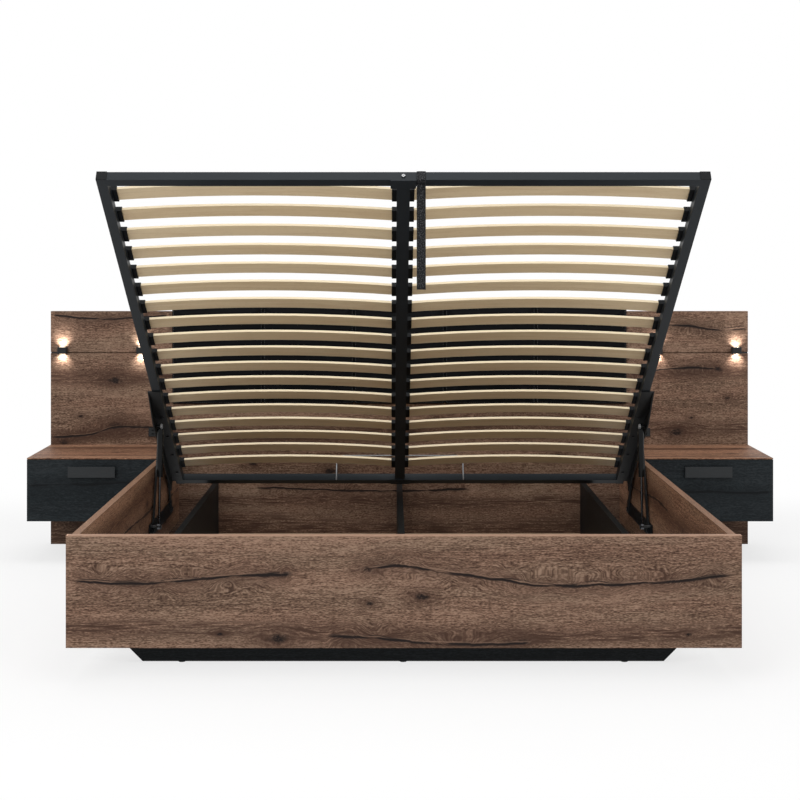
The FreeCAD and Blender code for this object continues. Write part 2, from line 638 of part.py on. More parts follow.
holders = []
for word, side in sides:
    for spot, low, high in (
            ("outer", f"{bar_inner} - holder_show", f"{bar_inner} + holder_on_bar"),
            ("inner", "centre_wide / 2 - holder_on_centre", "centre_wide / 2 + holder_show")):
        name = f"holder_{word}_{spot}"
        shell = box(name + "_shell", across(side, low, high), ("-holder_wide / 2", "holder_wide"),
                    ("bar_high", f"{slot_high} + 2 * holder_wall"))
        mouth_low = low if spot == "outer" else f"{low} + holder_wall"
        mouth_high = f"{high} - holder_wall" if spot == "outer" else high
        mouth = box(name + "_mouth", across(side, mouth_low, mouth_high),
                    ("-slat_wide / 2 - slot_room", "slat_wide + 2 * slot_room"),
                    ("bar_high + holder_wall", slot_high))
        one = cut(name, shell, mouth)
        doc.recompute()
        for count in range(int(value_of("slat_count"))):
            step = FreeCAD.Vector(0, -value_of(f"slat_first + {count} * {slat_pitch}"), 0)
            holders.append(one.Shape.translated(step))
holder_set = doc.addObject("Part::Feature", "slat_holders")
holder_set.Shape = Part.makeCompound(holders)
keep(raised(holder_set), "slat_holders")

# Mattress stop: one bent wire across the head end, its legs welded to the head tube's inner face.
stop_y = -value_of("bar_wide + stop_wire / 2 * cos(180 / wire_sides)")
stop_half = value_of("stop_half")
stop_base = 0
stop_top = value_of("bar_high + stop_high - stop_wire / 2")
bend = value_of("stop_bend")
bend_side = bend * (1 - math.sqrt(0.5))


def stop_point(x, z):
    return FreeCAD.Vector(x, stop_y, z)


stop_path = Part.Wire([
    Part.makeLine(stop_point(-stop_half, stop_base), stop_point(-stop_half, stop_top - bend)),
    Part.Arc(stop_point(-stop_half, stop_top - bend),
             stop_point(-stop_half + bend_side, stop_top - bend_side),
             stop_point(-stop_half + bend, stop_top)).toShape(),
    Part.makeLine(stop_point(-stop_half + bend, stop_top), stop_point(stop_half - bend, stop_top)),
    Part.Arc(stop_point(stop_half - bend, stop_top), stop_point(stop_half - bend_side, stop_top - bend_side),
             stop_point(stop_half, stop_top - bend)).toShape(),
    Part.makeLine(stop_point(stop_half, stop_top - bend), stop_point(stop_half, stop_base))])
wire_sides = int(value_of("wire_sides"))
wire_turns = [2 * math.pi * count / wire_sides for count in range(wire_sides + 1)]
wire_round = Part.makePolygon([
    stop_point(-stop_half, stop_base)
    + FreeCAD.Vector(math.cos(angle), math.sin(angle), 0) * value_of("stop_wire / 2")
    for angle in wire_turns])
stop = doc.addObject("Part::Feature", "mattress_stop")
stop.Shape = stop_path.makePipeShell([wire_round], True, True)
keep(raised(stop), "mattress_stop")

# Pull strap: webbing sewn round the foot tube, its tail hanging straight down.
strap_low = "strap_side - strap_wide / 2"
loop_outside = box("strap_loop_outside", (strap_low, "strap_wide"),
                   ("-frame_long - soft_gap - strap_thick", "bar_wide + 2 * soft_gap + 2 * strap_thick"),
                   ("-soft_gap - strap_thick", "bar_high + 2 * soft_gap + 2 * strap_thick"))
loop_inside = box("strap_loop_inside", (strap_low, "strap_wide"),
                  ("-frame_long - soft_gap", "bar_wide + 2 * soft_gap"),
                  ("-soft_gap", "bar_high + 2 * soft_gap"))
strap_loop = raised(group("strap_loop", [cut("strap_ring", loop_outside, loop_inside)]))
strap_y, strap_z = raised_spot("frame_long - bar_wide / 2", "-soft_gap - strap_thick / 2")
strap_tail = box("strap_tail", (strap_low, "strap_wide"), (f"{strap_y} - strap_thick / 2", "strap_thick"),
                 (f"{strap_z} - strap_long", "strap_long"))
keep(fuse("pull_strap", [strap_loop, strap_tail]), "pull_strap")

# Lift linkage. From the side panel inwards: base plate, links, upright leg of the lift angle,
# then the gas strut under the side tube.
plate_face = f"({side_inside} - plate_thick)"
link_outer = f"({plate_face} - link_gap)"
link_inner = f"({link_outer} - link_thick)"
leg_outer = f"({link_inner} - link_gap)"
leg_inner = f"({leg_outer} - angle_thick)"
strut_middle = f"({bar_outer} - strut_inset)"
eye_outer = f"({strut_middle} + eye_wide / 2)"
eye_inner = f"({strut_middle} - eye_wide / 2)"
hole = "pin_diameter + 2 * pin_room"
rear_y = f"({lowered_head} - rear_base)"
front_y = f"({lowered_head} - front_base)"
strut_y = f"({lowered_head} - strut_base)"


def link(name, side, base_y, base_z, tip_y, tip_z, pieces, holes):
    """A flat bar between two pivots, drawn along Y and then turned to its raised place."""
    reach = f"sqrt(({tip_y} - {base_y}) ^ 2 + ({tip_z} - {base_z}) ^ 2)"
    flat = across(side, link_inner, link_outer)
    bar = box(name + "_bar", flat, ("0", reach), ("-link_wide / 2", "link_wide"))
    ends = [pin(f"{name}_end_{spot}", "link_wide", flat, spot_y, "0")
            for spot, spot_y in (("base", "0"), ("tip", reach))]
    extra = [shape(f"{name}_stud_{count}", width, across(side, *span), reach, "0")
             for count, (shape, width, span) in enumerate(pieces)]
    solid = fuse(name + "_solid", [bar] + ends + extra)
    drills = [pin(f"{name}_hole_{count}", hole, flat, {"base": "0", "tip": reach}[spot], "0")
              for count, spot in enumerate(holes)]
    drill = fuse(name + "_holes", drills) if len(drills) > 1 else drills[0]
    item = group(name, [cut(name + "_drilled", solid, drill)])
    turn_about_x(item, f"atan2({tip_z} - {base_z}; {tip_y} - {base_y})")
    return place(item, "0", base_y, base_z)


def bar_along(name, diameter, x, start, length):
    """A round bar along Y at a distance x across the bed."""
    item = bind(doc.addObject("Part::Cylinder", name), Radius=f"({diameter}) / 2", Height=length)
    item.Placement = FreeCAD.Placement(FreeCAD.Vector(), FreeCAD.Rotation(FreeCAD.Vector(1, 0, 0), -90))
    return place(item, x, start, "0")


screws = []
for word, side in sides:
    # Base plate with its three pivot pins and their heads.
    base = "base_plate_" + word
    plate_start = f"({lowered_head} - plate_front)"
    pieces = [box(base + "_strip", across(side, plate_face, side_inside),
                  (plate_start, "plate_front - plate_rear"), ("plate_bottom", "plate_high"))]
    for spot, y, z, inner in (("rear", rear_y, "pivot_height", link_inner),
                              ("front", front_y, "pivot_height", link_inner),
                              ("strut", strut_y, "strut_height", eye_inner)):
        seat = f"({inner} - link_gap / 2)"
        pieces.append(pin(f"{base}_pin_{spot}", "pin_diameter", across(side, seat, plate_face), y, z))
        pieces.append(hex_head(f"{base}_head_{spot}", "head_diameter",
                               across(side, f"{seat} - pin_head", seat), y, z))
    keep(fuse(base, pieces), base)

    # Lift angle under the side tube: flange, upright leg with a long taper, rear pivot pin.
    angle = "lift_angle_" + word
    leg = profile_body(angle + "_leg", "YZ_Plane", [
        ("0", "angle_leg - angle_thick"),
        ("angle_nose - angle_full", "0"),
        ("angle_nose - angle_tail", "0"),
        ("angle_nose - angle_tail", "angle_leg"),
        ("0", "angle_leg")], "angle_thick")
    place(leg, across(side, leg_inner, leg_outer)[0], "-angle_nose", "-angle_leg")
    flange = box(angle + "_flange", across(side, bar_inner, leg_inner),
                 ("-angle_nose", "angle_nose - angle_tail"), ("-angle_thick", "angle_thick"))
    rear_pin = pin(angle + "_pin", "pin_diameter", across(side, leg_outer, f"{link_outer} + link_gap / 2"),
                   "-rear_arm", "-link_drop")
    head_seat = f"{link_outer} + link_gap / 2"
    rear_head = hex_head(angle + "_pin_head", "head_diameter",
                         across(side, head_seat, f"{head_seat} + pin_head"), "-rear_arm", "-link_drop")
    keep(raised(group(angle, [fuse(angle + "_solid", [leg, flange, rear_pin, rear_head])])), angle)
    for count in range(int(value_of("screw_count"))):
        screws.append(many_sided(f"{angle}_screw_{count}", 6, "screw_diameter",
                                 f"{side} * ({bar_outer} - bar_wide / 2)",
                                 f"-angle_tail - ({count} + 0.5) * screw_pitch",
                                 ("-angle_thick - screw_high", "screw_high")))

    # Links: the rear one turns on the angle's pin, the front one carries its own stud and head.
    keep(link("rear_link_" + word, side, rear_y, "pivot_height", *raised_spot("rear_arm", "-link_drop"),
              [], ["base", "tip"]), "rear_link_" + word)
    keep(link("front_link_" + word, side, front_y, "pivot_height", *raised_spot("front_arm", "-link_drop"),
              [(pin, "pin_diameter", (f"{leg_outer} + open_gap", link_inner)),
               (hex_head, "head_diameter", (link_outer, f"{link_outer} + pin_head"))],
              ["base"]), "front_link_" + word)

    # Gas strut, drawn along Y from its base pivot: a rod with an eye on the base plate's pin, and
    # a cylinder with an eye and stud that stands beside the lift angle.
    tip_y, tip_z = raised_spot("strut_arm", "-strut_drop")
    strut_long = f"sqrt(({tip_y} - {strut_y}) ^ 2 + ({tip_z} - strut_height) ^ 2)"
    strut_turn = f"atan2({tip_z} - strut_height; {tip_y} - {strut_y})"
    x_middle = f"{side} * {strut_middle}"
    eye = across(side, eye_inner, eye_outer)
    tube_start = f"({strut_long} - eye_diameter / 2 - tube_long)"
    rod = "gas_rod_" + word
    rod_solid = fuse(rod + "_solid", [
        bar_along(rod + "_bar", "rod_diameter", x_middle, "0", f"{tube_start} + rod_overlap"),
        pin(rod + "_eye", "eye_diameter", eye, "0", "0")])
    rod_item = group(rod, [cut(rod + "_drilled", rod_solid, pin(rod + "_hole", hole, eye, "0", "0"))])
    keep(place(turn_about_x(rod_item, strut_turn), "0", strut_y, "strut_height"), rod)

    gas = "gas_cylinder_" + word
    gas_blank = bar_along(gas + "_blank", "tube_diameter", x_middle, tube_start, "tube_long")
    gas_bore = bar_along(gas + "_bore", "rod_diameter + 2 * rod_room", x_middle, tube_start,
                         "tube_long - pin_diameter")
    gas_tube = cut(gas + "_tube", gas_blank, gas_bore)
    gas_solid = fuse(gas + "_solid", [
        gas_tube,
        pin(gas + "_eye", "eye_diameter", eye, strut_long, "0"),
        pin(gas + "_stud", "pin_diameter", across(side, eye_outer, f"{leg_inner} - open_gap"),
            strut_long, "0"),
        hex_head(gas + "_stud_head", "head_diameter", across(side, f"{eye_inner} - pin_head", eye_inner),
                 strut_long, "0")])
    gas_item = group(gas, [gas_solid])
    keep(place(turn_about_x(gas_item, strut_turn), "0", strut_y, "strut_height"), gas)
keep(raised(group("angle_screws", screws)), "angle_screws")

# Foot rests: blocks on the side panels that take the lowered side tubes near the foot.
rests = [box("foot_rest_" + word, across(side, bar_inner, side_inside),
             (f"{foot_inside} + corner_leg + rest_long / 2", "rest_long"),
             (f"{lowered_under} - rest_gap - rest_block", "rest_block")) for word, side in sides]
keep(group("foot_rests", rests), "foot_rests")

doc.recompute()
for item in doc.Objects:
    if "Invalid" in item.State or "Error" in item.State:
        raise RuntimeError(f"{item.Label} failed: {item.State}")
for item in nodes:
    if item.Shape.isNull() or not item.Shape.isValid() or not item.Shape.Solids:
        raise RuntimeError(f"{item.Label} has no sound shape")

os.makedirs("parts", exist_ok=True)
for item in nodes:
    item.Shape.exportStep(os.path.join("parts", item.Label + ".step"))
print(len(nodes), "sub-parts")
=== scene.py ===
import math

import bmesh
import bpy
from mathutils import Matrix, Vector


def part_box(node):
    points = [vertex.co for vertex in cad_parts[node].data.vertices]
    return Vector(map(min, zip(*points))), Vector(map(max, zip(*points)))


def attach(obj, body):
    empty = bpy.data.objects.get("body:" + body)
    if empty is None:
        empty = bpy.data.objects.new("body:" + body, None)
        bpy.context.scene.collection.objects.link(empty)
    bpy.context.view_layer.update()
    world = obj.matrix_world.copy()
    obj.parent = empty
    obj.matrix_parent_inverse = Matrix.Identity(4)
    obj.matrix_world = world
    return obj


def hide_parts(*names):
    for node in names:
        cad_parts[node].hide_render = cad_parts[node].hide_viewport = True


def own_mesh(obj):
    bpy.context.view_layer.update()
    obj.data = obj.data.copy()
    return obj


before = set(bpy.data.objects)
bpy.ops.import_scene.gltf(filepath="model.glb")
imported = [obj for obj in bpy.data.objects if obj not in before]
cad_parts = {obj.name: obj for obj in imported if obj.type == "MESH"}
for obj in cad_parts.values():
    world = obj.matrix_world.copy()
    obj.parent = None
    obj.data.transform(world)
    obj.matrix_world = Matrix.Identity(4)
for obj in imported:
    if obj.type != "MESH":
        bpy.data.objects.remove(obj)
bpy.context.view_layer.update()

# Foot panel and side panels: 22 mm chipboard under a printed laminate of rustic brown oak, with
# the same print on the edge banding. The grain runs along each board, and the corners are held
# by steel angles inside the box.


class Tone:
    """One value of a finish, held by a node's socket. Sums and products of tones add Math nodes."""

    def __init__(self, tree, socket=None):
        self.tree = tree
        self.socket = socket

    def node(self, kind, settings=None, sockets=None, output=0):
        """Adds a node: its settings first, then the values or links of its sockets."""
        made = self.tree.nodes.new(kind)
        for name, value in (settings or {}).items():
            if name == "stops":
                steps = made.color_ramp.elements
                while len(steps) < len(value):
                    steps.new(1.0)
                for step, (position, colour) in zip(steps, value):
                    step.position = position
                    step.color = (*colour, 1.0)
            elif name == "curve":
                made.color_ramp.interpolation = value
            else:
                setattr(made, name, value)
        for name, value in (sockets or {}).items():
            if isinstance(value, Tone):
                self.tree.links.new(value.socket, made.inputs[name])
            else:
                made.inputs[name].default_value = value
        return Tone(self.tree, made.outputs[output] if made.outputs else None)

    def out(self, output):
        """Another output of the node that gave this tone."""
        return Tone(self.tree, self.socket.node.outputs[output])

    def maths(self, operation, *values):
        return self.node("ShaderNodeMath", {"operation": operation}, dict(enumerate(values)))

    def __add__(self, other):
        return self.maths("ADD", self, other)

    __radd__ = __add__

    def __sub__(self, other):
        return self.maths("SUBTRACT", self, other)

    def __rsub__(self, other):
        return self.maths("SUBTRACT", other, self)

    def __mul__(self, other):
        return self.maths("MULTIPLY", self, other)

    __rmul__ = __mul__

    def __truediv__(self, other):
        return self.maths("DIVIDE", self, other)

    def __pow__(self, other):
        return self.maths("POWER", self, other)

    def __abs__(self):
        return self.maths("ABSOLUTE", self)

    def __gt__(self, other):
        return self.maths("GREATER_THAN", self, other)

    def fade(self, low, high):
        """A smooth step from 0 at low to 1 at high."""
        return self.node("ShaderNodeMapRange", {"interpolation_type": "SMOOTHSTEP"},
                         {"Value": self, "From Min": low, "From Max": high})

    def between(self, first, second):
        """The first colour where this tone is 0, and the second where it is 1."""
        return self.node("ShaderNodeMix", {"data_type": "RGBA"},
                         {0: self, 6: first, 7: second}, output=2)


def start_finish(name):
    """A new material with no nodes, and the tone that its nodes are made from."""
    finish = bpy.data.materials.new(name)
    finish.use_nodes = True
    finish.node_tree.nodes.clear()
    return finish, Tone(finish.node_tree)


def axes_of(start):
    """Place on the piece along X, Y and Z, in metres."""
    place = start.node("ShaderNodeTexCoord", output="Object")
    axes = start.node("ShaderNodeSeparateXYZ", {}, {"Vector": place})
    return axes, axes.out(1), axes.out(2)


def cloud(start, x, y, z=0.0, detail=2.0, rough=0.5):
    """Smooth unevenness from 0 to 1, about one patch for each unit of x, y and z."""
    spot = start.node("ShaderNodeCombineXYZ", {}, {"X": x, "Y": y, "Z": z})
    return start.node("ShaderNodeTexNoise", {}, {"Vector": spot, "Scale": 1.0, "Detail": detail,
                                                 "Roughness": rough})


def coat(start, colour, rough, height=None, relief=0.0005, press=0.3, **fixed):
    """Closes a finish: one shader with its colour, gloss and relief, and the output."""
    sockets = {"Base Color": colour, "Roughness": rough}
    sockets.update({name.replace("_", " "): value for name, value in fixed.items()})
    if height is not None:
        sockets["Normal"] = start.node("ShaderNodeBump", {}, {
            "Strength": press, "Distance": relief, "Height": height})
    shader = start.node("ShaderNodeBsdfPrincipled", {}, sockets)
    start.node("ShaderNodeOutputMaterial", {}, {"Surface": shader})


def dress(finish, *nodes):
    """Puts a finish on CAD pieces."""
    for node in nodes:
        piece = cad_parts[node]
        for place in piece.material_slots:
            place.material = finish


def oak_print(name, along, across, face, shades, cracks=(), knots=(), bands_and_shade=(), rubbed_and_lit=None,
              top_edge_lit=None):
    """Rustic oak laminate: fine fibres along the board, with cracks, knots and darker bands.

    A crack is a path of points, a knot is a point and a size, and a band is a level and half its
    width, all in metres on the board's face. Most bands are dark streaks of the print, and the
    wide low ones on the headboards are painted shade. A pale line along each crack's upper lip is
    a painted highlight. The print runs on over the edges, and from the given level up the banding
    of the top edge takes a painted colour set for how the light falls on that edge. On a board
    with none of these, the face only shifts the print.
    """
    finish, start = start_finish(name)
    axes = axes_of(start)
    run = axes[along]
    rise = axes[across] + (axes[3 - along - across] - face) * 0.9
    wander = cloud(start, run * 1.3, rise * 5, face) - 0.5
    grain = rise + wander * 0.03
    gaps = []
    for path in cracks:
        ends = (path[0][0], path[-1][0])
        levels = [spot[1] for spot in path]
        depth = max(levels) - min(levels) + 0.001
        share = (run - ends[0]) / (ends[1] - ends[0])
        stops = [((spot[0] - ends[0]) / (ends[1] - ends[0]), ((spot[1] - min(levels)) / depth,) * 3)
                 for spot in path]
        line = start.node("ShaderNodeValToRGB", {"stops": stops, "curve": "B_SPLINE"},
                          {"Fac": share}) * depth
        ripple = cloud(start, run * 17, levels[0] * 90, detail=3.0) - 0.5
        apart = rise - line - min(levels) - ripple * 0.012
        reach = share.fade(0.0, 0.05) * (1 - share.fade(0.95, 1.0))
        near = (1 - abs(apart).fade(0.0, 0.07)) * reach
        swirl = cloud(start, run * 10, rise * 16, levels[0] * 50, detail=1.0) - 0.5
        grain = grain - near * (line - depth / 2) * 0.8 + near * swirl * 0.11
        gaps.append((apart, reach, near))
    heart = 0.0
    halo = 0.0
    rings = 0.0
    for place, level, size in knots:
        aside = run - place
        up = rise - level
        rough_edge = cloud(start, run * 45, rise * 90, place, detail=4.0, rough=0.65) - 0.5
        away = ((aside * 0.5) ** 2.0 + up ** 2.0) ** 0.5 + rough_edge * size * 2.0
        eye = 1 - away.fade(0.0, size * 4)
        grain = grain - up * eye * 0.8
        heart = heart + (1 - away.fade(size * 0.2, size * 1.1))
        halo = halo + eye
        waves = start.maths("SINE", (away + wander * 0.02) * (9.0 / size))
        rings = rings + waves.fade(0.35, 0.95) * eye
    fibre = cloud(start, run * 38, grain * 330, rough=0.6)
    strand = cloud(start, run * 9, grain * 150, face, detail=3.0, rough=0.6)
    broad = cloud(start, run * 1.1, grain * 8, face + 3.0, detail=3.0)
    tick = cloud(start, run * 34, grain * 300, face + 7.0).fade(0.58, 0.70)
    black, dark, middle, pale = ((*shade, 1.0) for shade in shades)
    grit = cloud(start, run * 115, grain * 430, face + 5.0, detail=1.0)
    mixed = broad * 0.30 + strand * 0.32 + fibre * 0.44 + (grit - 0.5) * 0.46 - 0.028
    stops = [(0.38, dark[:3]), (0.50, middle[:3]), (0.60, pale[:3])]
    colour = start.node("ShaderNodeValToRGB", {"stops": stops}, {"Fac": mixed})
    patch = cloud(start, run * 2.6, grain * 15, face + 9.0).fade(0.38, 0.66)
    colour = start.node("ShaderNodeMix", {"data_type": "RGBA", "blend_type": "MULTIPLY"},
                        {0: patch, 6: colour, 7: (0.94, 1.0, 1.0, 1.0)}, output=2)
    colour = (tick * 0.65).between(colour, dark)
    # Darker bands: most are streaks of the print, and the wide low ones on the headboards are
    # painted shade.
    for level, half in bands_and_shade:
        band_and_shade = 1 - abs(rise - level + wander * 0.12).fade(half * 0.15, half)
        colour = (band_and_shade * strand.fade(0.36, 0.60)).between(colour, dark)
    height = fibre * 0.5 - tick * 0.4
    if knots:
        colour = (halo * (strand * 1.1 + 0.05)).between(colour, dark)
        colour = (rings * 0.55).between(colour, dark)
        speck = cloud(start, run * 150, rise * 230, rough=0.7)
        colour = (heart * (speck * 2.4 - 0.25)).between(colour, black)
        height = height - heart * 0.3
    for apart, reach, near in gaps:
        whorl = cloud(start, run * 6, apart * 26, face, detail=1.0)
        loops = 1 - abs(start.maths("SINE", whorl * 26.0)).fade(0.0, 0.55)
        colour = (near * near * (strand * 0.9)).between(colour, dark)
        colour = (loops * near * 0.7).between(colour, dark)
        # Painted highlight: a pale line along the upper lip of each crack.
        crack_highlight = (1 - abs(apart - 0.0045).fade(0.0005, 0.003)) * reach
        colour = (crack_highlight * strand * 0.8).between(colour, pale)
        gape = cloud(start, run * 7, face * 3.0)
        fork = apart - (cloud(start, run * 4, face * 5.0) - 0.44) * 0.05
        split = (1 - abs(fork).fade(0.0006, 0.0024)) * near * strand.fade(0.36, 0.56)
        colour = (split * 0.85).between(colour, black)
        slit = (1 - abs(apart).fade(0.0006, gape ** 2.0 * 0.020 + 0.0010)) * reach
        slit = slit * gape.fade(0.32, 0.46) * (strand * 1.6 + 0.35)
        colour = slit.between(colour, black)
        height = height - slit - loops * near * 0.3
    # Painted highlight: the top edge's banding takes a colour set for how light falls on it.
    if rubbed_and_lit is not None:
        top_lit_mask = axes[Z].fade(rubbed_and_lit, rubbed_and_lit + 0.001) * (fibre * 0.9 + 0.25)
        colour = top_lit_mask.between(colour, (*top_edge_lit, 1.0))
    coat(start, colour, 0.60 - fibre * 0.16, height, relief=0.0009, press=0.4,
         Specular_IOR_Level=0.12)
    return finish


def tinted(shades, *factors):
    """The shades with their red, green and blue each times a factor."""
    return tuple(tuple(a * b for a, b in zip(shade, factors)) for shade in shades)


X, Y, Z = range(3)
brown_shades = ((0.012, 0.008, 0.007), (0.058, 0.030, 0.020), (0.172, 0.100, 0.067),
                (0.300, 0.188, 0.132))
# The painted highlight of the top edges starts this far below the top of the boards.
top_lit_depth = 0.0032
box_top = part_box("foot_panel")[1].z - top_lit_depth
foot_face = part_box("foot_panel")[0].y
foot_cracks = (((-0.93, 0.286), (-0.83, 0.277), (-0.70, 0.276), (-0.566, 0.289), (-0.42, 0.302),
                (-0.30, 0.304)),
               ((-0.12, 0.316), (-0.05, 0.325), (0.0, 0.327), (0.07, 0.315), (0.197, 0.298),
                (0.295, 0.283), (0.37, 0.269), (0.54, 0.273), (0.663, 0.277), (0.773, 0.284),
                (0.86, 0.296), (0.93, 0.303)),
               ((-0.22, 0.135), (-0.05, 0.122), (0.08, 0.110), (0.24, 0.107), (0.36, 0.112)))
foot_knots = ((-0.35, 0.125, 0.017), (-0.51, 0.137, 0.006), (-0.10, 0.317, 0.010),
              (-0.095, 0.222, 0.007), (0.79, 0.136, 0.006), (0.05, 0.24, 0.012),
              (0.33, 0.115, 0.011))
foot_bands = ((0.145, 0.045),)
# The foot panel's top edge is painted lighter, a painted highlight where it faces the light.
foot_top_lit = (0.44, 0.272, 0.190)
dress(oak_print("brown_oak_foot", X, Z, foot_face, brown_shades, foot_cracks, foot_knots,
                foot_bands, box_top, foot_top_lit), "foot_panel")
side_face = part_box("side_panel_left")[1].x
# The side boards take a lighter copy of the brown oak, painted light for the inside of the box.
side_lit_shades = tinted(brown_shades, 1.58, 1.42, 1.28)
side_bands = ((0.33, 0.06), (0.18, 0.05))
# The side panels' top edges are painted darker than their lightened boards, painted light set for
# those edges.
side_top_lit = (0.20, 0.112, 0.068)
side_cracks = (((-0.95, 0.205), (-0.70, 0.24), (-0.45, 0.275), (-0.2, 0.285), (0.1, 0.262),
                (0.35, 0.27)),
               ((0.35, 0.20), (0.55, 0.215), (0.75, 0.24), (0.99, 0.235)))
side_knots = ((-0.5, 0.19, 0.012), (0.18, 0.3, 0.014), (0.62, 0.16, 0.010), (-0.2, 0.15, 0.008))
dress(oak_print("brown_oak_side_left", Y, Z, side_face, side_lit_shades, side_cracks, side_knots,
                side_bands, box_top, side_top_lit), "side_panel_left")
other_cracks = (((-0.98, 0.31), (-0.76, 0.292), (-0.5, 0.25), (-0.3, 0.222), (-0.1, 0.226)),
                ((-0.1, 0.315), (0.15, 0.33), (0.4, 0.30), (0.7, 0.285)))
other_knots = ((-0.62, 0.2, 0.013), (-0.35, 0.3, 0.008), (0.33, 0.21, 0.015), (0.7, 0.33, 0.009))
dress(oak_print("brown_oak_side_right", Y, Z, -side_face, side_lit_shades, other_cracks, other_knots,
                side_bands, box_top, side_top_lit), "side_panel_right")

# Plinth board and long rails: black laminated boards under the box. The plinth stands well back
# behind the foot panel, so the bed seems to float, and the rails carry the floor on battens.
board_shades = ((0.002, 0.0025, 0.003), (0.004, 0.005, 0.0055), (0.0075, 0.009, 0.010),
                (0.013, 0.015, 0.017))
rail_shades = tinted(board_shades, 0.65, 0.65, 0.65)
plinth_print = 2.4
rail_print = 5.9
dress(oak_print("black_board_plinth", X, Z, plinth_print, board_shades), "plinth_front")
dress(oak_print("black_board_rails", Y, Z, rail_print, rail_shades),
      "rail_left", "rail_right", "rail_centre", "floor_cleats")

# Floor panels: thin hardboard laid loose on the battens between the rails. The pressed fibres
# show as a mottled brown face with fine short hairs.
hardboard, start = start_finish("hardboard")
pressed_dark = (0.16, 0.10, 0.058, 1.0)
pressed_pale = (0.36, 0.25, 0.155, 1.0)
hair_pale = (0.42, 0.31, 0.20, 1.0)
x, y, z = axes_of(start)
mottle = cloud(start, x * 30, y * 30, z * 30, detail=4.0, rough=0.6)
hairs = cloud(start, x * 420, y * 140, z * 300).fade(0.5, 0.7)
colour = mottle.between(pressed_dark, pressed_pale)
colour = (hairs * 0.35).between(colour, hair_pale)
coat(start, colour, 0.62 + mottle * 0.2, hairs + mottle * 0.5, relief=0.0004)
dress(hardboard, "floor_panels")

# Corner angles and foot rests: pressed steel angles inside the box corners, and moulded blocks
# on the side panels that take the lowered frame. The glides under the boards are moulded too.


def powder_coat(name, base, rough):
    """Black powder paint on steel: an even satin skin with a fine orange peel."""
    finish, start = start_finish(name)
    x, y, z = axes_of(start)
    peel = cloud(start, x * 520, y * 520, z * 520)
    handling = cloud(start, x * 9, y * 9, z * 9, detail=4.0, rough=0.6)
    dust = cloud(start, x * 60, y * 60, z * 60, detail=3.0).fade(0.58, 0.80)
    lighter = tuple(1.7 * part + 0.004 for part in base)
    colour = (handling * 0.55).between((*base, 1.0), (*lighter, 1.0))
    colour = (dust * 0.25).between(colour, (*(2.2 * part + 0.01 for part in base), 1.0))
    coat(start, colour, rough + handling * 0.12 + dust * 0.1, peel, relief=0.00025, press=0.35,
         Specular_IOR_Level=0.16)
    return finish


steel_paint = (0.0080, 0.0108, 0.0135)
black_steel = powder_coat("black_steel", steel_paint, 0.36)
dress(black_steel, "corner_angles")

moulded_black, start = start_finish("moulded_black")
mould_dark = (0.0026, 0.0032, 0.0038, 1.0)
mould_pale = (0.007, 0.008, 0.009, 1.0)
x, y, z = axes_of(start)
stipple = cloud(start, x * 1400, y * 1400, z * 1400, detail=1.0)
flow = cloud(start, x * 40, y * 40, z * 14, detail=3.0)
coat(start, flow.between(mould_dark, mould_pale), 0.46 + flow * 0.16, stipple, relief=0.0002,
     Specular_IOR_Level=0.12)
dress(moulded_black, "foot_rests", "glides")

# Headboard: three laminated boards standing on the floor behind the box, the outer two carrying
# the night tables. A narrow groove across the outer boards takes the reading lamps.
head_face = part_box("headboard_left")[0].y
centre_cracks = (((-0.75, 0.44), (-0.5, 0.452), (-0.2, 0.438), (0.15, 0.45)),
                 ((0.1, 0.512), (0.35, 0.5), (0.6, 0.508), (0.8, 0.49)),
                 ((-0.6, 0.235), (-0.3, 0.222), (0.0, 0.214), (0.3, 0.23)))
centre_knots = ((-0.28, 0.30, 0.016), (0.42, 0.27, 0.017), (0.05, 0.46, 0.014),
                (-0.6, 0.33, 0.010), (0.65, 0.36, 0.012))
# The wide lowest band is painted shade on the lower headboard inside the box.
centre_bands_and_shade = ((0.70, 0.06), (0.46, 0.05), (0.17, 0.05), (0.04, 0.13))
dress(oak_print("brown_oak_head_centre", X, Z, head_face, brown_shades, centre_cracks,
                centre_knots, centre_bands_and_shade), "headboard_centre")
left_cracks = (((-1.434, 0.440), (-1.34, 0.443), (-1.265, 0.449), (-1.20, 0.475), (-1.14, 0.488),
                (-1.05, 0.480), (-0.93, 0.477)),
               ((-1.43, 0.945), (-1.33, 0.932), (-1.19, 0.922), (-1.10, 0.932), (-0.95, 0.94)),
               ((-1.43, 0.128), (-1.3, 0.122), (-1.1, 0.135)))
left_knots = ((-1.167, 0.485, 0.020), (-1.17, 0.672, 0.016), (-1.38, 0.42, 0.012),
              (-1.31, 0.526, 0.006))
# The wide lowest band is painted shadow under the night table.
left_bands_and_shade = ((0.68, 0.055), (0.45, 0.045), (0.06, 0.17))
dress(oak_print("brown_oak_head_left", X, Z, head_face, brown_shades, left_cracks, left_knots,
                left_bands_and_shade), "headboard_left")
right_cracks = (((0.95, 0.905), (1.116, 0.900), (1.22, 0.897), (1.31, 0.874), (1.434, 0.890)),
                ((0.95, 0.70), (1.1, 0.722), (1.22, 0.728), (1.3, 0.72)),
                ((1.1, 0.13), (1.25, 0.118), (1.434, 0.126)))
right_knots = ((1.142, 0.46, 0.018), (1.31, 0.72, 0.012), (1.2, 0.52, 0.006), (1.35, 0.6, 0.007))
# The wide lowest band is painted shadow under the night table.
right_bands_and_shade = ((0.715, 0.045), (0.47, 0.05), (0.06, 0.17))
dress(oak_print("brown_oak_head_right", X, Z, head_face, brown_shades, right_cracks, right_knots,
                right_bands_and_shade), "headboard_right")

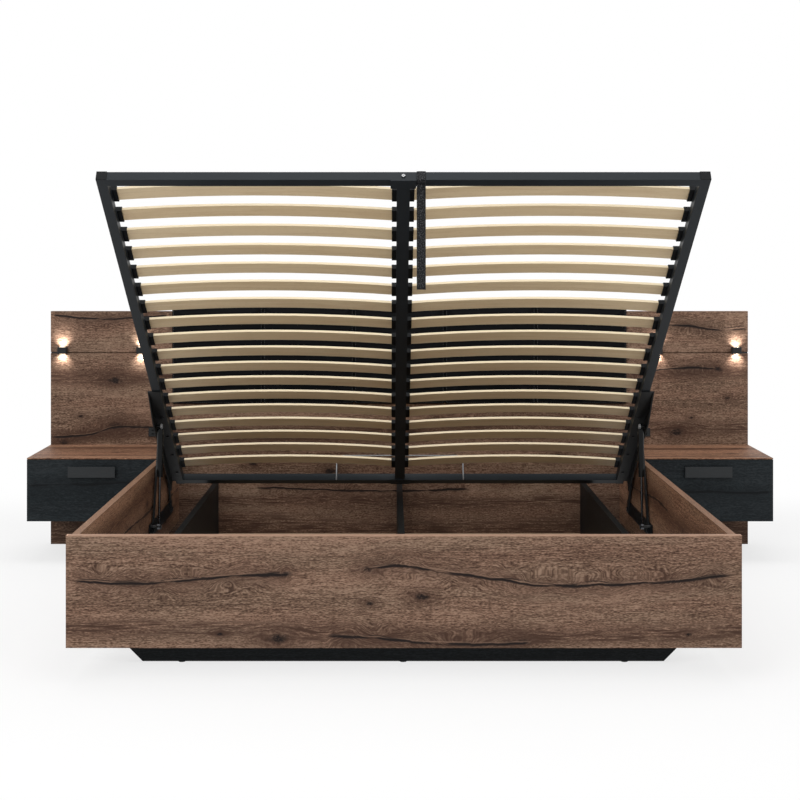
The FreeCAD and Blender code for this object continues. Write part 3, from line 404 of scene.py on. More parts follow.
# Headboard pads: five foam pads in a soft black cover, stapled to thin boards and hung side by
# side. The covers swell between their edges, and a sewn line runs round inside each border.
pad_cover, start = start_finish("pad_cover")
cover_dark = (0.0024, 0.0028, 0.0033, 1.0)
cover_pale = (0.0066, 0.0072, 0.0080, 1.0)
cover_valley = (0.0015, 0.0016, 0.002, 1.0)
place = start.node("ShaderNodeTexCoord", output="Object")
pebbles = start.node("ShaderNodeTexVoronoi", {"feature": "DISTANCE_TO_EDGE"},
                     {"Vector": place, "Scale": 620.0, "Randomness": 0.9})
x, y, z = axes_of(start)
wrinkles = cloud(start, x * 22, y * 22, z * 15, detail=4.0, rough=0.55) - 0.5
creases = 1 - abs(wrinkles).fade(0.0, 0.035)
rubbed_and_lit = cloud(start, x * 7, y * 7, z * 7, detail=4.0)
valley = 1 - pebbles.fade(0.0, 0.18)
colour = rubbed_and_lit.between(cover_dark, cover_pale)
colour = (valley * 0.5).between(colour, cover_valley)
coat(start, colour, 0.44 + rubbed_and_lit * 0.14 + valley * 0.15,
     pebbles.fade(0.0, 0.25) - creases * 0.35, press=0.5, Specular_IOR_Level=0.05)

pad_thread, start = start_finish("pad_thread")
thread_dark = (0.050, 0.051, 0.053, 1.0)
thread_pale = (0.110, 0.111, 0.115, 1.0)
x, y, z = axes_of(start)
twist = cloud(start, (x + z) * 900, y * 900, (x - z) * 500, detail=1.0)
coat(start, twist.between(thread_dark, thread_pale), 0.55 + twist * 0.2, twist, relief=0.0003,
     press=0.5)
scene = bpy.context.scene


def mesh_of(piece):
    """The mesh that a piece's modifiers give."""
    shaped = piece.evaluated_get(bpy.context.evaluated_depsgraph_get())
    return bpy.data.meshes.new_from_object(shaped)


def add_object(name, data):
    """A new object in the scene: a mesh, a light or a camera."""
    added = bpy.data.objects.new(name, data)
    scene.collection.objects.link(added)
    return added


def add_piece(name, mesh, *finishes):
    """A new mesh object with its finishes, smooth all over."""
    piece = add_object(name, mesh)
    piece.data.materials.clear()
    for finish in finishes:
        piece.data.materials.append(finish)
    for face in piece.data.polygons:
        face.use_smooth = True
    return piece


pad_count = 5
pad_spread = 0.0020
pad_start = 0.024
pad_round = 0.006
pad_voxel = 0.0065
pad_cap = 0.013
pad_soft = 0.030
pad_rim = 0.0135
pad_front = 0.012
pad_swell = 0.004
pad_room = 0.001
cover_steps = 20
seam_inset = 0.0075
seam_deep = 0.0016
seam_wide = 0.0045
stitch_pitch = 0.0075
stitch_sink = 0.0002
stitch_shape = ((-0.0024, 0.0003), (-0.0012, 0.0009), (0.0012, 0.0009), (0.0024, 0.0003))
column_wide = 0.006
for count in range(1, pad_count + 1):
    node = f"headboard_pad_{count}"
    low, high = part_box(node)
    size = Vector((high.x - low.x + 2 * pad_spread, pad_start, high.z - low.z + 2 * pad_spread))
    middle = Vector(((low.x + high.x) / 2, high.y - pad_start / 2, (low.z + high.z) / 2))
    shell = bmesh.new()
    bmesh.ops.create_cube(shell, size=1.0)
    for point in shell.verts:
        point.co = Vector(a * b for a, b in zip(point.co, size)) + middle
    bmesh.ops.bevel(shell, geom=shell.edges[:], offset=pad_round, segments=3, affect="EDGES",
                    profile=0.6)
    blank_mesh = bpy.data.meshes.new(node + "_blank")
    shell.to_mesh(blank_mesh)
    shell.free()
    blank = add_piece(node + "_blank", blank_mesh)
    remesh = blank.modifiers.new("even", "REMESH")
    remesh.mode = "VOXEL"
    remesh.voxel_size = pad_voxel
    even = mesh_of(blank)
    bpy.data.objects.remove(blank)
    for axis in (X, Z):
        reach_now = max(abs(point.co[axis] - middle[axis]) for point in even.vertices)
        for point in even.vertices:
            away = point.co[axis] - middle[axis]
            point.co[axis] = middle[axis] + away * size[axis] / 2 / reach_now

    pad = add_piece(f"padded_panel_{count}", even, pad_cover)
    before = [point.co.copy() for point in pad.data.vertices]
    held = pad.vertex_groups.new(name="stapled")
    rim = [spot.index for spot in pad.data.vertices if spot.co.y > high.y - pad_rim]
    held.add(rim, 1.0, "REPLACE")
    cloth = pad.modifiers.new("cover", "CLOTH")
    cloth.settings.quality = 6
    cloth.settings.mass = 0.35
    cloth.settings.tension_stiffness = 18
    cloth.settings.compression_stiffness = 18
    cloth.settings.shear_stiffness = 8
    cloth.settings.bending_stiffness = 0.8
    cloth.settings.vertex_group_mass = "stapled"
    cloth.settings.use_pressure = True
    cloth.settings.uniform_pressure_force = 4.0
    cloth.settings.effector_weights.gravity = 0.0
    cloth.collision_settings.use_collision = False
    cloth.point_cache.frame_start = 1
    cloth.point_cache.frame_end = cover_steps + 4
    for step in range(1, cover_steps + 1):
        scene.frame_set(step)
    swollen = mesh_of(pad)
    pad.modifiers.clear()
    pad.data = swollen
    scene.frame_set(1)
    half_wide = size.x / 2
    half_high = size.z / 2
    for point, start_place in zip(pad.data.vertices, before):
        move = point.co - start_place
        if move.length > 0:
            move *= pad_cap * (1 - math.exp(-move.length / pad_soft)) / move.length
        spot = start_place + move
        across = (spot.x - middle.x) / half_wide
        up = (spot.z - middle.z) / half_high
        if start_place.y < high.y - pad_front:
            swell = (1 - abs(across) ** 4) * (1 - abs(up) ** 4)
            spot.y -= pad_swell * swell
            edge = min(half_wide - abs(spot.x - middle.x), half_high - abs(spot.z - middle.z))
            spot.y += seam_deep * math.exp(-((edge - seam_inset) / seam_wide) ** 2)
        spot.x = min(max(spot.x, low.x - pad_spread), high.x + pad_spread)
        spot.z = min(max(spot.z, low.z - pad_spread), high.z + pad_spread)
        spot.y = min(max(spot.y, low.y - pad_room), high.y)
        point.co = spot
    finer = pad.modifiers.new("finer", "SUBSURF")
    finer.levels = 1
    finer.render_levels = 1
    pad.data = mesh_of(pad)
    pad.modifiers.clear()
    for face in pad.data.polygons:
        face.use_smooth = True
    pad.data.materials.clear()
    pad.data.materials.append(pad_cover)
    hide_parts(node)
    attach(pad, "bed")

    # The sewn line: short thread stitches lying in the groove of the cover.
    columns = {}
    for point in pad.data.vertices:
        if point.co.y < high.y - pad_front:
            key = (round(point.co.x / column_wide), round(point.co.z / column_wide))
            columns.setdefault(key, []).append((point.co.x, point.co.z, point.co.y))
    sewn = bmesh.new()
    inner_wide = half_wide - seam_inset
    inner_high = half_high - seam_inset
    route = []
    for side in (-1, 1):
        steps = int(2 * inner_wide / stitch_pitch)
        route += [(-inner_wide + (step + 0.5) * 2 * inner_wide / steps, side * inner_high, 1, 0)
                  for step in range(steps)]
        steps = int(2 * inner_high / stitch_pitch)
        route += [(side * inner_wide, -inner_high + (step + 0.5) * 2 * inner_high / steps, 0, 1)
                  for step in range(steps)]
    for place_x, place_z, along_x, along_z in route:
        spot_x = middle.x + place_x
        spot_z = middle.z + place_z
        key = (round(spot_x / column_wide), round(spot_z / column_wide))
        near = sorted(((a - spot_x) ** 2 + (b - spot_z) ** 2, depth)
                      for step_x in (-1, 0, 1) for step_z in (-1, 0, 1)
                      for a, b, depth in columns.get((key[0] + step_x, key[1] + step_z), []))[:4]
        if not near:
            continue
        face_y = sum(depth for _, depth in near) / len(near)
        ring = []
        for end, thick in stitch_shape:
            ring.append([sewn.verts.new((spot_x + along_x * end + along_z * thick * a,
                                         face_y + stitch_sink - thick * b,
                                         spot_z + along_z * end + along_x * thick * a))
                         for a, b in ((-1, 0), (0, 1), (1, 0))])
        for first, second in zip(ring, ring[1:]):
            for index in range(2):
                sewn.faces.new((first[index], first[index + 1], second[index + 1], second[index]))
    sewn.normal_update()
    sewn_mesh = bpy.data.meshes.new(f"pad_stitches_{count}")
    sewn.to_mesh(sewn_mesh)
    sewn.free()
    stitches = add_piece(f"pad_stitches_{count}", sewn_mesh, pad_thread)
    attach(stitches, "bed")

# Night tables: a brown oak top with a thin front lip over a hanging carcass of black oak print.
# Each carcass is screwed to the headboard, so the table has no legs.
table_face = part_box("table_top_left")[1].z
top_shades = tinted(brown_shades, 1.22, 1.05, 0.93)
left_top_cracks = (((-1.42, 0.90), (-1.3, 0.905), (-1.2, 0.893), (-1.05, 0.90), (-0.95, 0.892)),)
left_top_knots = ((-1.12, 0.76, 0.008),)
left_top_bands = ((0.90, 0.05), (0.68, 0.03))
dress(oak_print("brown_oak_table_left", X, Y, table_face, top_shades, left_top_cracks,
                left_top_knots, left_top_bands), "table_top_left")
right_top_cracks = (((0.95, 0.86), (1.1, 0.872), (1.25, 0.868), (1.4, 0.88)),)
right_top_knots = ((1.3, 0.72, 0.008),)
right_top_bands = ((0.87, 0.05), (0.66, 0.03))
dress(oak_print("brown_oak_table_right", X, Y, table_face, top_shades, right_top_cracks,
                right_top_knots, right_top_bands), "table_top_right")
black_shades = ((0.003, 0.004, 0.005), (0.006, 0.0082, 0.0098), (0.0118, 0.0152, 0.0175),
                (0.0205, 0.025, 0.028))
carcass_print = 6.3
dress(oak_print("black_oak_carcass", Y, Z, carcass_print, black_shades),
      "table_carcass_left", "table_carcass_right")

# Drawers: black oak fronts with the grain across, plain black boxes behind them and steel side
# runners. A bent plate screwed on near the top of the front makes the handle.
drawer_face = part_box("drawer_front_left")[0].y
left_front_cracks = (((-1.43, 0.30), (-1.3, 0.312), (-1.2, 0.303), (-1.05, 0.318),
                      (-0.94, 0.311)),)
dress(oak_print("black_oak_drawer_left", X, Z, drawer_face, black_shades, left_front_cracks),
      "drawer_front_left")
right_front_cracks = (((0.94, 0.29), (1.1, 0.276), (1.2, 0.283), (1.3, 0.272), (1.43, 0.28)),)
dress(oak_print("black_oak_drawer_right", X, Z, drawer_face, black_shades, right_front_cracks),
      "drawer_front_right")
drawer_print = 7.5
dress(oak_print("black_board_drawers", Y, Z, drawer_print, board_shades),
      "drawer_box_left", "drawer_box_right")

bright_steel, start = start_finish("bright_steel")
zinc_dark = (0.40, 0.42, 0.44, 1.0)
zinc_pale = (0.72, 0.73, 0.75, 1.0)
place = start.node("ShaderNodeTexCoord", output="Object")
crystal = start.node("ShaderNodeTexVoronoi", {},
                     {"Vector": place, "Scale": 300.0, "Randomness": 1.0})
tint = start.node("ShaderNodeSeparateColor", {}, {"Color": crystal.out("Color")})
x, y, z = axes_of(start)
film = cloud(start, x * 45, y * 45, z * 45, detail=4.0, rough=0.6)
colour = (tint * 0.5 + film * 0.5).between(zinc_dark, zinc_pale)
scratch = cloud(start, x * 900, y * 60, z * 900).fade(0.6, 0.7)
coat(start, colour, 0.24 + tint * 0.14 + scratch * 0.15, tint * 0.4 - scratch, relief=0.0001,
     Metallic=1.0)
dress(bright_steel, "drawer_runners")

handle_lacquer, start = start_finish("handle_lacquer")
lacquer_dark = (0.015, 0.017, 0.0185, 1.0)
lacquer_pale = (0.030, 0.033, 0.035, 1.0)
x, y, z = axes_of(start)
brush = cloud(start, x * 26, y * 1500, z * 1500, rough=0.6)
touch = cloud(start, x * 16, y * 16, z * 16, detail=3.0).fade(0.45, 0.8)
coat(start, brush.between(lacquer_dark, lacquer_pale), 0.34 + brush * 0.14 - touch * 0.08, brush,
     relief=0.00015, press=0.35, Specular_IOR_Level=0.2)
dress(handle_lacquer, "handle_left", "handle_right")

# Reading lamps: small black blocks clipped in the headboard's groove, each with a frosted lens
# above and below that throws a warm patch of light up and down the board.
lamp_paint = (0.016, 0.017, 0.018)
dress(powder_coat("lamp_black", lamp_paint, 0.30), "reading_lamps")

lens_glow, start = start_finish("lens_glow")
frost_dark = (0.86, 0.80, 0.70, 1.0)
frost_pale = (0.97, 0.93, 0.86, 1.0)
glow_deep = (1.0, 0.72, 0.42, 1.0)
glow_pale = (1.0, 0.86, 0.64, 1.0)
x, y, z = axes_of(start)
frost = cloud(start, x * 800, y * 800, z * 800)
coat(start, frost.between(frost_dark, frost_pale), 0.5 + frost * 0.2, frost, relief=0.0002,
     Emission_Color=frost.between(glow_deep, glow_pale), Emission_Strength=1.3)
dress(lens_glow, "lamp_lenses")

lens_low, lens_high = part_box("lamp_lenses")
lens_gap = 0.0015
lamp_places = (-1.384, -1.060, 1.060, 1.384)
lamp_out = 0.020
beam_lean = math.radians(42)
beam_wide = math.radians(126)
beam_energy = 0.9
beam_white = (0.96, 0.95, 0.92)
for place_x in lamp_places:
    for word, level, facing in (("up", lens_high.z + lens_gap, math.pi - beam_lean),
                                ("down", lens_low.z - lens_gap, beam_lean)):
        beam = bpy.data.lights.new(f"lamp_beam_{word}", "SPOT")
        beam.color = beam_white
        beam.energy = beam_energy
        beam.spot_size = beam_wide
        beam.spot_blend = 1.0
        beam.shadow_soft_size = 0.004
        lamp = add_object(f"lamp_beam_{word}", beam)
        lamp.location = (place_x, head_face - lamp_out, level)
        lamp.rotation_euler = (facing, 0.0, 0.0)

# Charging sockets: square moulded plates on the headboard above the night tables, each with two
# ports one over the other.
socket_low, socket_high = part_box("charging_sockets")
socket_half = 0.018
socket_edge = 0.002
socket_middle = socket_high.x - socket_half
port_depths = (socket_low.y + 0.0006, socket_low.y + 0.0014)
socket_finish, start = start_finish("socket_grey")
socket_dark = (0.017, 0.019, 0.020, 1.0)
socket_pale = (0.026, 0.028, 0.029, 1.0)
port_shade_black = (0.002, 0.002, 0.0022, 1.0)
x, y, z = axes_of(start)
grain = cloud(start, x * 1400, y * 1400, z * 1400, detail=1.0)
sheen = cloud(start, x * 60, y * 60, z * 60, detail=3.0)
colour = sheen.between(socket_dark, socket_pale)
aside = abs(abs(x) - socket_middle).fade(socket_half - socket_edge, socket_half - socket_edge / 2)
# The ports darken with depth: partly their own black inside, partly painted shade in the recesses.
port_depth_shade = y.fade(*port_depths) * (1 - aside)
colour = port_depth_shade.between(colour, port_shade_black)
coat(start, colour, 0.42 + sheen * 0.16, grain, relief=0.0002, Specular_IOR_Level=0.2)
dress(socket_finish, "charging_sockets")

# Lift fittings: steel strips screwed to the side panels, two flat links and a gas strut on each
# side, and an angle with a tapered leg under each side tube. Pivot pins are riveted, and their
# heads on the strips and the ring of the strut's upper stud are bare metal.
# The angles take a darker copy of the black powder paint, painted shade under the frame.
angle_shaded_paint = (0.0045, 0.0053, 0.006)
dress(powder_coat("angle_black", angle_shaded_paint, 0.36), "lift_angle_left", "lift_angle_right")

# The strips' paint is also darker than the frame's, painted shade under the frame.
plate_black, start = start_finish("plate_black")
plate_shaded_dark = (0.005, 0.0058, 0.0066, 1.0)
plate_shaded_pale = (0.011, 0.0125, 0.0138, 1.0)
pin_dark = (0.20, 0.205, 0.21, 1.0)
pin_pale = (0.36, 0.365, 0.37, 1.0)
pivots = ((0.7339, 0.19), (0.2645, 0.19), (0.2455, 0.208))
pin_rim_squared = (0.000022, 0.000026)
x, y, z = axes_of(start)
peel = cloud(start, x * 520, y * 520, z * 520)
handling = cloud(start, x * 9, y * 9, z * 9, detail=4.0, rough=0.6)
colour = handling.between(plate_shaded_dark, plate_shaded_pale)
pins = 0.0
for pivot_y, pivot_z in pivots:
    pins = pins + 1 - ((y - pivot_y) ** 2.0 + (z - pivot_z) ** 2.0).fade(*pin_rim_squared)
colour = pins.between(colour, handling.between(pin_dark, pin_pale))
coat(start, colour, 0.36 + handling * 0.12, peel, relief=0.00025, press=0.35,
     Specular_IOR_Level=0.16)
dress(plate_black, "base_plate_left", "base_plate_right")

link_paint = (0.0115, 0.013, 0.0145)
dress(powder_coat("link_steel", link_paint, 0.30), "rear_link_left", "rear_link_right",
      "front_link_left", "front_link_right", "angle_screws")

gas_paint, start = start_finish("gas_paint")
gas_dark = (0.003, 0.0034, 0.0038, 1.0)
gas_pale = (0.009, 0.0098, 0.0105, 1.0)
stud_dark = (0.24, 0.245, 0.25, 1.0)
stud_pale = (0.38, 0.385, 0.39, 1.0)
stud_y, stud_z = 0.28355, 0.56531
stud_rim_squared = (0.00011, 0.00012)
stud_deep = 0.010
stud_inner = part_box("gas_cylinder_right")[0].x + stud_deep
x, y, z = axes_of(start)
drawn = cloud(start, x * 700, y * 700, z * 20)
smear = cloud(start, x * 30, y * 30, z * 12, detail=4.0)
colour = smear.between(gas_dark, gas_pale)
ring = 1 - ((y - stud_y) ** 2.0 + (z - stud_z) ** 2.0).fade(*stud_rim_squared)
stud = ring * (1 - (abs(x) > stud_inner))
colour = stud.between(colour, smear.between(stud_dark, stud_pale))
coat(start, colour, 0.09 + smear * 0.08, drawn, relief=0.0001, press=0.1, Specular_IOR_Level=0.14)
dress(gas_paint, "gas_cylinder_left", "gas_cylinder_right")

rod_steel, start = start_finish("rod_steel")
# The rod's steel is painted far darker than bare steel, a painted reflection of the dark box around
# it, with darker oil patches.
rod_dark_reflection = (0.085, 0.088, 0.094, 1.0)
rod_oiled_dark_reflection = (0.045, 0.046, 0.048, 1.0)
x, y, z = axes_of(start)
turned = cloud(start, x * 60, y * 900, z * 900)
oil = cloud(start, x * 50, y * 50, z * 20, detail=4.0).fade(0.45, 0.75)
coat(start, oil.between(rod_dark_reflection, rod_oiled_dark_reflection), 0.20 + oil * 0.16 + turned * 0.05, turned,
     relief=0.00005, press=0.2, Metallic=1.0)
dress(rod_steel, "gas_rod_left", "gas_rod_right")

# Lift frame: rectangular steel tubes welded into a frame with a centre tube, black powder paint
# all over, with plastic plugs in the ends of the side tubes and a bolt at the foot.
dress(black_steel, "side_bar_left", "side_bar_right", "head_bar", "foot_bar", "centre_bar",
      "centre_tabs")
dress(moulded_black, "bar_end_caps")

lift_tilt = math.radians(34.1)
bolt_low, bolt_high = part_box("centre_bolt")
bolt_middle = (bolt_low + bolt_high) / 2
socket_rim_squared = (0.000003, 0.000007)
bolt_rim = (0.0054, 0.0062)
bolt_zinc, start = start_finish("bolt_zinc")
bolt_dark = (0.42, 0.43, 0.44, 1.0)
bolt_pale = (0.66, 0.66, 0.67, 1.0)
socket_painted_shade = (0.05, 0.05, 0.052, 1.0)
bolt_shade = (0.012, 0.013, 0.014, 1.0)
x, y, z = axes_of(start)
up_face = (y - bolt_middle.y) * math.sin(lift_tilt) + (z - bolt_middle.z) * math.cos(lift_tilt)
aside = abs(x - bolt_middle.x)
film = cloud(start, x * 300, y * 300, z * 300, detail=3.0)
colour = film.between(bolt_dark, bolt_pale)
# The hex socket in the head is painted dark, painted shade in its hollow.
socket = 1 - (aside ** 2.0 + up_face ** 2.0).fade(*socket_rim_squared)
colour = (socket * 0.8).between(colour, socket_painted_shade)
colour = (aside + abs(up_face)).fade(*bolt_rim).between(colour, bolt_shade)
coat(start, colour, 0.42 + film * 0.2, film - socket, relief=0.0004, press=0.4)
dress(bolt_zinc, "centre_bolt")

# Slats: sprung strips of laminated birch, bowed upwards and held at both ends in black plastic
# holders that sit on the tubes. Each strip is pressed from thin veneers that show on its edges.
head_end = (0.737, 0.2897)
slat_first = 0.113
slat_pitch = 0.10361
slat_seat = 0.030
slat_crown = 0.019
slat_middle = 0.4385
slat_half = 0.4345
slat_edge = (0.0255, 0.0263)
veneer = 0.00134


def slat_wood(name, shift):
    """Pale birch veneers: fine straight fibres, a tone of its own for each slat, and glue lines."""
    finish, start = start_finish(name)
    birch_dark = (0.63, 0.487, 0.298, 1.0)
    birch_pale = (0.76, 0.625, 0.415, 1.0)
    fibre_brown = (0.52, 0.37, 0.215, 1.0)
    arch_brown = (0.46, 0.31, 0.17, 1.0)
    fleck_brown = (0.36, 0.23, 0.12, 1.0)
    edge_pale = (0.79, 0.665, 0.455, 1.0)
    glue_brown = (0.42, 0.28, 0.15, 1.0)
    x, y, z = axes_of(start)
    ahead = (y - head_end[0]) * -math.cos(lift_tilt) + (z - head_end[1]) * math.sin(lift_tilt)
    above = (y - head_end[0]) * math.sin(lift_tilt) + (z - head_end[1]) * math.cos(lift_tilt)
    number = start.maths("FLOOR", (ahead - slat_first) / slat_pitch + 0.5)
    chance = start.node("ShaderNodeTexWhiteNoise", {"noise_dimensions": "1D"},
                        {"W": number + shift})
    run = x + number * 1.7 + shift
    bow = 1 - ((abs(x) - slat_middle) / slat_half) ** 2.0
    depth = above - slat_seat - bow * slat_crown
    layer = start.maths("FRACT", depth / veneer + 20.5)
    glue = (1 - layer.fade(0.0, 0.12)) + layer.fade(0.88, 1.0)
    wave = cloud(start, run * 2.2, ahead * 34, detail=3.0) - 0.5
    fibre = cloud(start, run * 10, ahead * 520 + wave * 6, above * 300, detail=3.0, rough=0.6)
    arch = cloud(start, run * 1.1, ahead * 26 + wave * 1.6, number) - 0.5
    cathedral = 1 - abs(arch).fade(0.0, 0.07)
    fleck = cloud(start, run * 60, ahead * 700, above * 700, detail=1.0).fade(0.60, 0.70)
    colour = (chance * 0.55 + wave * 0.6 + 0.1).between(birch_dark, birch_pale)
    colour = (fibre * 0.45).between(colour, fibre_brown)
    colour = (cathedral * 0.22).between(colour, arch_brown)
    colour = (fleck * 0.25).between(colour, fleck_brown)
    edge = abs(ahead - number * slat_pitch - slat_first).fade(*slat_edge)
    colour = edge.between(colour, edge_pale)
    colour = (glue * edge * 0.22).between(colour, glue_brown)
    coat(start, colour, 0.42 + fibre * 0.18, fibre - fleck * 0.5 - glue * 0.6, relief=0.0004)
    return finish


dress(slat_wood("slat_wood_left", 2.0), "slats_left")
dress(slat_wood("slat_wood_right", 31.0), "slats_right")
dress(moulded_black, "slat_holders")

# Mattress stop: one bent steel wire across the head end that keeps the mattress from sliding
# back when the frame is raised.
stop_steel, start = start_finish("stop_steel")
stop_dark = (0.10, 0.105, 0.11, 1.0)
stop_pale = (0.24, 0.245, 0.25, 1.0)
x, y, z = axes_of(start)
drawn = cloud(start, x * 40, y * 900, z * 900)
dull = cloud(start, x * 60, y * 60, z * 60, detail=4.0, rough=0.6)
coat(start, dull.between(stop_dark, stop_pale), 0.34 + dull * 0.2, drawn, relief=0.0001,
     Metallic=1.0)
dress(stop_steel, "mattress_stop")

# Pull strap: black woven webbing looped round the foot tube and sewn to itself with a crossed
# box of stitches, its tail hanging down to be gripped, with a turned-in end.
webbing, start = start_finish("webbing")
yarn_dark = (0.003, 0.003, 0.0035, 1.0)
yarn_pale = (0.014, 0.0145, 0.016, 1.0)
fleck_grey = (0.085, 0.086, 0.090, 1.0)
rib_pitch = 0.0022
yarn_pitch = 0.0013
sewn_place = start.node("ShaderNodeTexCoord", output="UV")
width_place = start.node("ShaderNodeSeparateXYZ", {}, {"Vector": sewn_place})
length_place = width_place.out(1)
rib = start.maths("SINE", length_place * (2 * math.pi / rib_pitch))
yarn = start.maths("SINE", width_place * (2 * math.pi / yarn_pitch)
                   + length_place * (math.pi / rib_pitch))
fluff = cloud(start, width_place * 900, length_place * 900, detail=3.0)
fleck = cloud(start, width_place * 330, length_place * 260, rough=0.7).fade(0.52, 0.62)
weave = rib * 0.5 + yarn * 0.35 + fluff * 0.4
colour = (weave * 0.5 + 0.4).between(yarn_dark, yarn_pale)
colour = (fleck * 0.9).between(colour, fleck_grey)
coat(start, colour, 0.68 + fluff * 0.2, weave, press=0.7, Specular_IOR_Level=0.15)

strap_low, strap_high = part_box("pull_strap")
strap_wide = strap_high.x - strap_low.x
strap_thick = 0.0022
strap_middle = (strap_low.x + strap_high.x) / 2
frame_long = 1.990
bar_wide = 0.030
bar_high = 0.028
strap_gap = 0.0017


def on_frame(from_head, above):
    """Y and Z of a point of the raised frame."""
    return Vector((head_end[0] - from_head * math.cos(lift_tilt) + above * math.sin(lift_tilt),
                   head_end[1] + from_head * math.sin(lift_tilt) + above * math.cos(lift_tilt)))


corner_round = 0.003
loop_back = frame_long - bar_wide - strap_gap
loop_front = frame_long + strap_gap
loop_over = bar_high + strap_gap
loop_turns = ((frame_long - bar_wide / 2, -strap_gap), (loop_front, -strap_gap),
              (loop_front, loop_over), (loop_back, loop_over), (loop_back, -strap_gap))
strap_route = [on_frame(*loop_turns[0])]
for index in range(1, len(loop_turns)):
    here = Vector(loop_turns[index])
    back = (Vector(loop_turns[index - 1]) - here).normalized() * corner_round
    following = loop_turns[(index + 1) % len(loop_turns)]
    onward = (Vector(following) - here).normalized() * corner_round
    for share in (0.0, 0.25, 0.5, 0.75, 1.0):
        bent = here + back * (1 - share) ** 2 + onward * share ** 2
        strap_route.append(on_frame(*bent))
seam_ahead = 0.001
seam_drop = 0.004
tail_short = 0.002
seam_spot = on_frame(frame_long - bar_wide / 2 + seam_ahead, -strap_gap - strap_thick * 0.4)
tail_top = seam_spot + Vector((0.0, -seam_drop))
tail_long = tail_top.y - strap_low.z - tail_short
strap_route.append(seam_spot)
tail_steps = 46
long_sway = 0.0011
short_sway = 0.0006
for step in range(1, tail_steps + 1):
    share = step / tail_steps
    sway = long_sway * math.sin(share * 5.2) + short_sway * math.sin(share * 13.0 + 1.0)
    strap_route.append(Vector((tail_top.x + sway, tail_top.y - share * tail_long)))
strap_mesh = bmesh.new()
uv_layer = strap_mesh.loops.layers.uv.new("along_strap")
section = ((-0.5, 0.0), (-0.47, 0.5), (0.0, 0.56), (0.47, 0.5), (0.5, 0.0), (0.47, -0.5),
           (0.0, -0.56), (-0.47, -0.5))
section_place = (0.0, 0.001, 0.013, 0.025, 0.026, 0.025, 0.013, 0.001)
hem_rows = 6
hem_thick = 1.75
rows = []
travel = 0.0
for index, spot in enumerate(strap_route):
    ahead_spot = strap_route[min(index + 1, len(strap_route) - 1)]
    back_spot = strap_route[max(index - 1, 0)]
    along_strap = (ahead_spot - back_spot).normalized()
    outward = Vector((-along_strap.y, along_strap.x))
    if index:
        travel += (spot - strap_route[index - 1]).length
    hem = hem_thick if index >= len(strap_route) - hem_rows else 1.0
    row = [strap_mesh.verts.new((strap_middle + a * strap_wide,
                                 spot.x + outward.x * b * strap_thick * hem,
                                 spot.y + outward.y * b * strap_thick * hem)) for a, b in section]
    rows.append((row, travel))
for (first, first_at), (second, second_at) in zip(rows, rows[1:]):
    for index in range(len(section)):
        following = (index + 1) % len(section)
        face = strap_mesh.faces.new((first[index], first[following], second[following],
                                     second[index]))
        places = ((section_place[index], first_at), (section_place[following], first_at),
                  (section_place[following], second_at), (section_place[index], second_at))
        for loop, place_uv in zip(face.loops, places):
            loop[uv_layer].uv = place_uv
for row, turn in ((rows[0][0], 1), (rows[-1][0], -1)):
    strap_mesh.faces.new(row[::turn])


def stitch_row(start_x, start_z, step_x, step_z, long_x, long_z):
    """Both ends of the six stitches of a row, across and down from the top of the strap's tail."""
    return [((start_x + step_x * step, start_z + step_z * step),
             (start_x + step_x * step + long_x, start_z + step_z * step + long_z))
            for step in range(6)]


sewn_half = 0.010
sewn_levels = (-0.006, -0.026)
sides_top = -0.007
hem_deep = 0.020
sewn_step = 0.0034
sewn_long = 0.0022
cross_half = 0.0095
cross_top = -0.0068
cross_step = 0.0033
cross_long = 0.0021
stitch_rows = []
for level in sewn_levels:
    stitch_rows += stitch_row(-sewn_half, level, sewn_step, 0.0, sewn_long, 0.0)
for side in (-sewn_half, sewn_half):
    stitch_rows += stitch_row(side, sides_top, 0.0, -sewn_step, 0.0, -sewn_long)
for slant in (-1, 1):
    stitch_rows += stitch_row(-slant * cross_half, cross_top, slant * cross_step, -cross_step,
                              slant * cross_long, -cross_long)
stitch_rows += stitch_row(-sewn_half, -tail_long + hem_deep, sewn_step, 0.0, sewn_long, 0.0)
thread_half = 0.0005
thread_sink = 0.0003
thread_high = 0.0004
for (start_x, start_z), (end_x, end_z) in stitch_rows:
    along_stitch = Vector((end_x - start_x, end_z - start_z)).normalized() * thread_half
    aside = Vector((-along_stitch.y, along_stitch.x))
    ends = ((start_x, start_z), (end_x, end_z))
    tops = ((start_x + along_stitch.x, start_z + along_stitch.y),
            (end_x - along_stitch.x, end_z - along_stitch.y))
    for face_side in (-1, 1):
        face_y = tail_top.x + face_side * strap_thick * 0.62
        base = [strap_mesh.verts.new((strap_middle + a + sign * aside.x,
                                      face_y - face_side * thread_sink,
                                      tail_top.y + b + sign * aside.y))
                for a, b in ends for sign in (-1, 1)]
        ridge = [strap_mesh.verts.new((strap_middle + a, face_y + face_side * thread_high,
                                       tail_top.y + b)) for a, b in tops]
        for corners in ((base[0], ridge[0], ridge[1], base[2]),
                        (base[1], base[3], ridge[1], ridge[0]),
                        (base[0], base[2], base[3], base[1]),
                        (base[0], base[1], ridge[0]), (base[2], ridge[1], base[3])):
            face = strap_mesh.faces.new(corners)
            face.material_index = 1
bmesh.ops.recalc_face_normals(strap_mesh, faces=strap_mesh.faces[:])
strap_data = bpy.data.meshes.new("pull_strap_webbing")
strap_mesh.to_mesh(strap_data)
strap_mesh.free()
strap = add_piece("pull_strap_webbing", strap_data, webbing, pad_thread)
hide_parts("pull_strap")
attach(strap, "lift_frame")
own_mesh(strap)

# Studio: a pale floor that shows white to the camera and keeps the bed's shadow, an even white
# surround, one large soft light from the front left, a weaker one from the right and one from
# above.


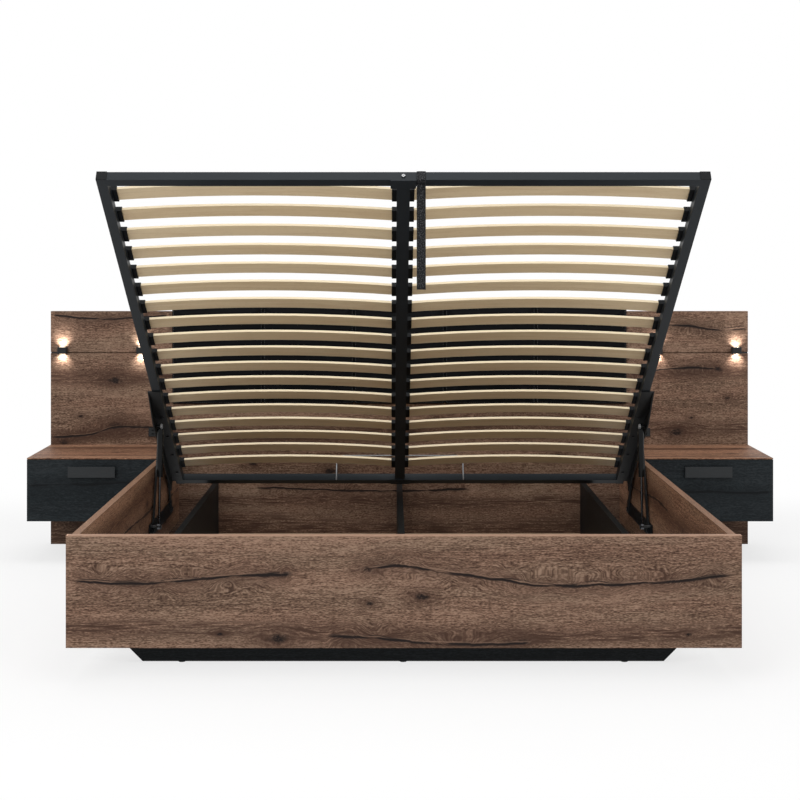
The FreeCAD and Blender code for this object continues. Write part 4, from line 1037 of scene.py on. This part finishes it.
def seen_share(start):
    """1 for what the camera sees, also in shiny and clear things, and 0 for light on the bed."""
    ray = start.node("ShaderNodeLightPath", output="Is Camera Ray")
    rays = ray + ray.out("Is Glossy Ray") + ray.out("Is Transmission Ray")
    return start.maths("MINIMUM", rays, 1.0)


reach = 30.0
corners = [(-reach, -reach, 0.0), (reach, -reach, 0.0), (reach, reach, 0.0), (-reach, reach, 0.0)]
floor_mesh = bpy.data.meshes.new("studio_floor")
floor_mesh.from_pydata(corners, [], [(0, 1, 2, 3)])
pure_white = (1.0, 1.0, 1.0, 1.0)
paper_dark = (0.84, 0.84, 0.84, 1.0)
paper_pale = (0.88, 0.88, 0.88, 1.0)
shadow_half_wide = 1.6
shadow_half_long = 1.4
shadow_white = 0.72
floor_finish, start = start_finish("studio_floor")
seen = seen_share(start)
x, y, z = axes_of(start)
paper = cloud(start, x * 2.0, y * 2.0, detail=3.0)
matt = start.node("ShaderNodeBsdfDiffuse", {}, {"Color": paper.between(paper_dark, paper_pale)})
white = start.node("ShaderNodeEmission", {}, {"Color": pure_white, "Strength": 1.0})
away = start.maths("MAXIMUM", abs(x) - shadow_half_wide, abs(y) - shadow_half_long)
whiter = away.fade(0.0, 1.0) * (1 - shadow_white) + shadow_white
pale = start.node("ShaderNodeMixShader", {}, {"Fac": seen * whiter, 1: matt, 2: white})
start.node("ShaderNodeOutputMaterial", {}, {"Surface": pale})
floor = add_piece("studio_floor", floor_mesh, floor_finish)

surround_light = 0.55
surround = bpy.data.worlds.new("studio_surround")
surround.use_nodes = True
surround.node_tree.nodes.clear()
sky = Tone(surround.node_tree)
lit = sky.node("ShaderNodeBackground", {}, {"Color": pure_white, "Strength": surround_light})
shown = sky.node("ShaderNodeBackground", {}, {"Color": pure_white, "Strength": 1.0})
mixed = sky.node("ShaderNodeMixShader", {}, {"Fac": seen_share(sky), 1: lit, 2: shown})
sky.node("ShaderNodeOutputWorld", {}, {"Surface": mixed})
scene.world = surround

for name, spot, aim, energy, wide in (
        ("key_light", (-3.2, -5.2, 4.4), (0.0, 0.0, 0.6), 150.0, 3.4),
        ("fill_light", (4.0, -4.6, 3.2), (0.0, 0.2, 0.5), 60.0, 3.0),
        ("top_light", (0.0, -0.6, 5.2), (0.0, 0.2, 0.0), 120.0, 3.6)):
    panel = bpy.data.lights.new(name, "AREA")
    panel.shape = "SQUARE"
    panel.size = wide
    panel.energy = energy
    light = add_object(name, panel)
    light.location = spot
    light.rotation_euler = (Vector(aim) - Vector(spot)).to_track_quat("-Z", "Y").to_euler()

# Camera: level and straight on to the foot of the bed, with the lens shifted down as in the
# photo. Its focal length and place were fitted to the foot panel and the slat frame.
lens = bpy.data.cameras.new("photo_camera")
lens.sensor_width = 36.0
lens.lens = 68.6
lens.shift_x = 0.0125
lens.shift_y = -0.1826
lens.clip_end = 200.0
camera = add_object("photo_camera", lens)
camera.location = (-0.0385, -5.2675, 1.1937)
camera.rotation_euler = (math.pi / 2, 0.0, 0.0)
scene.camera = camera
scene.view_settings.view_transform = "Standard"
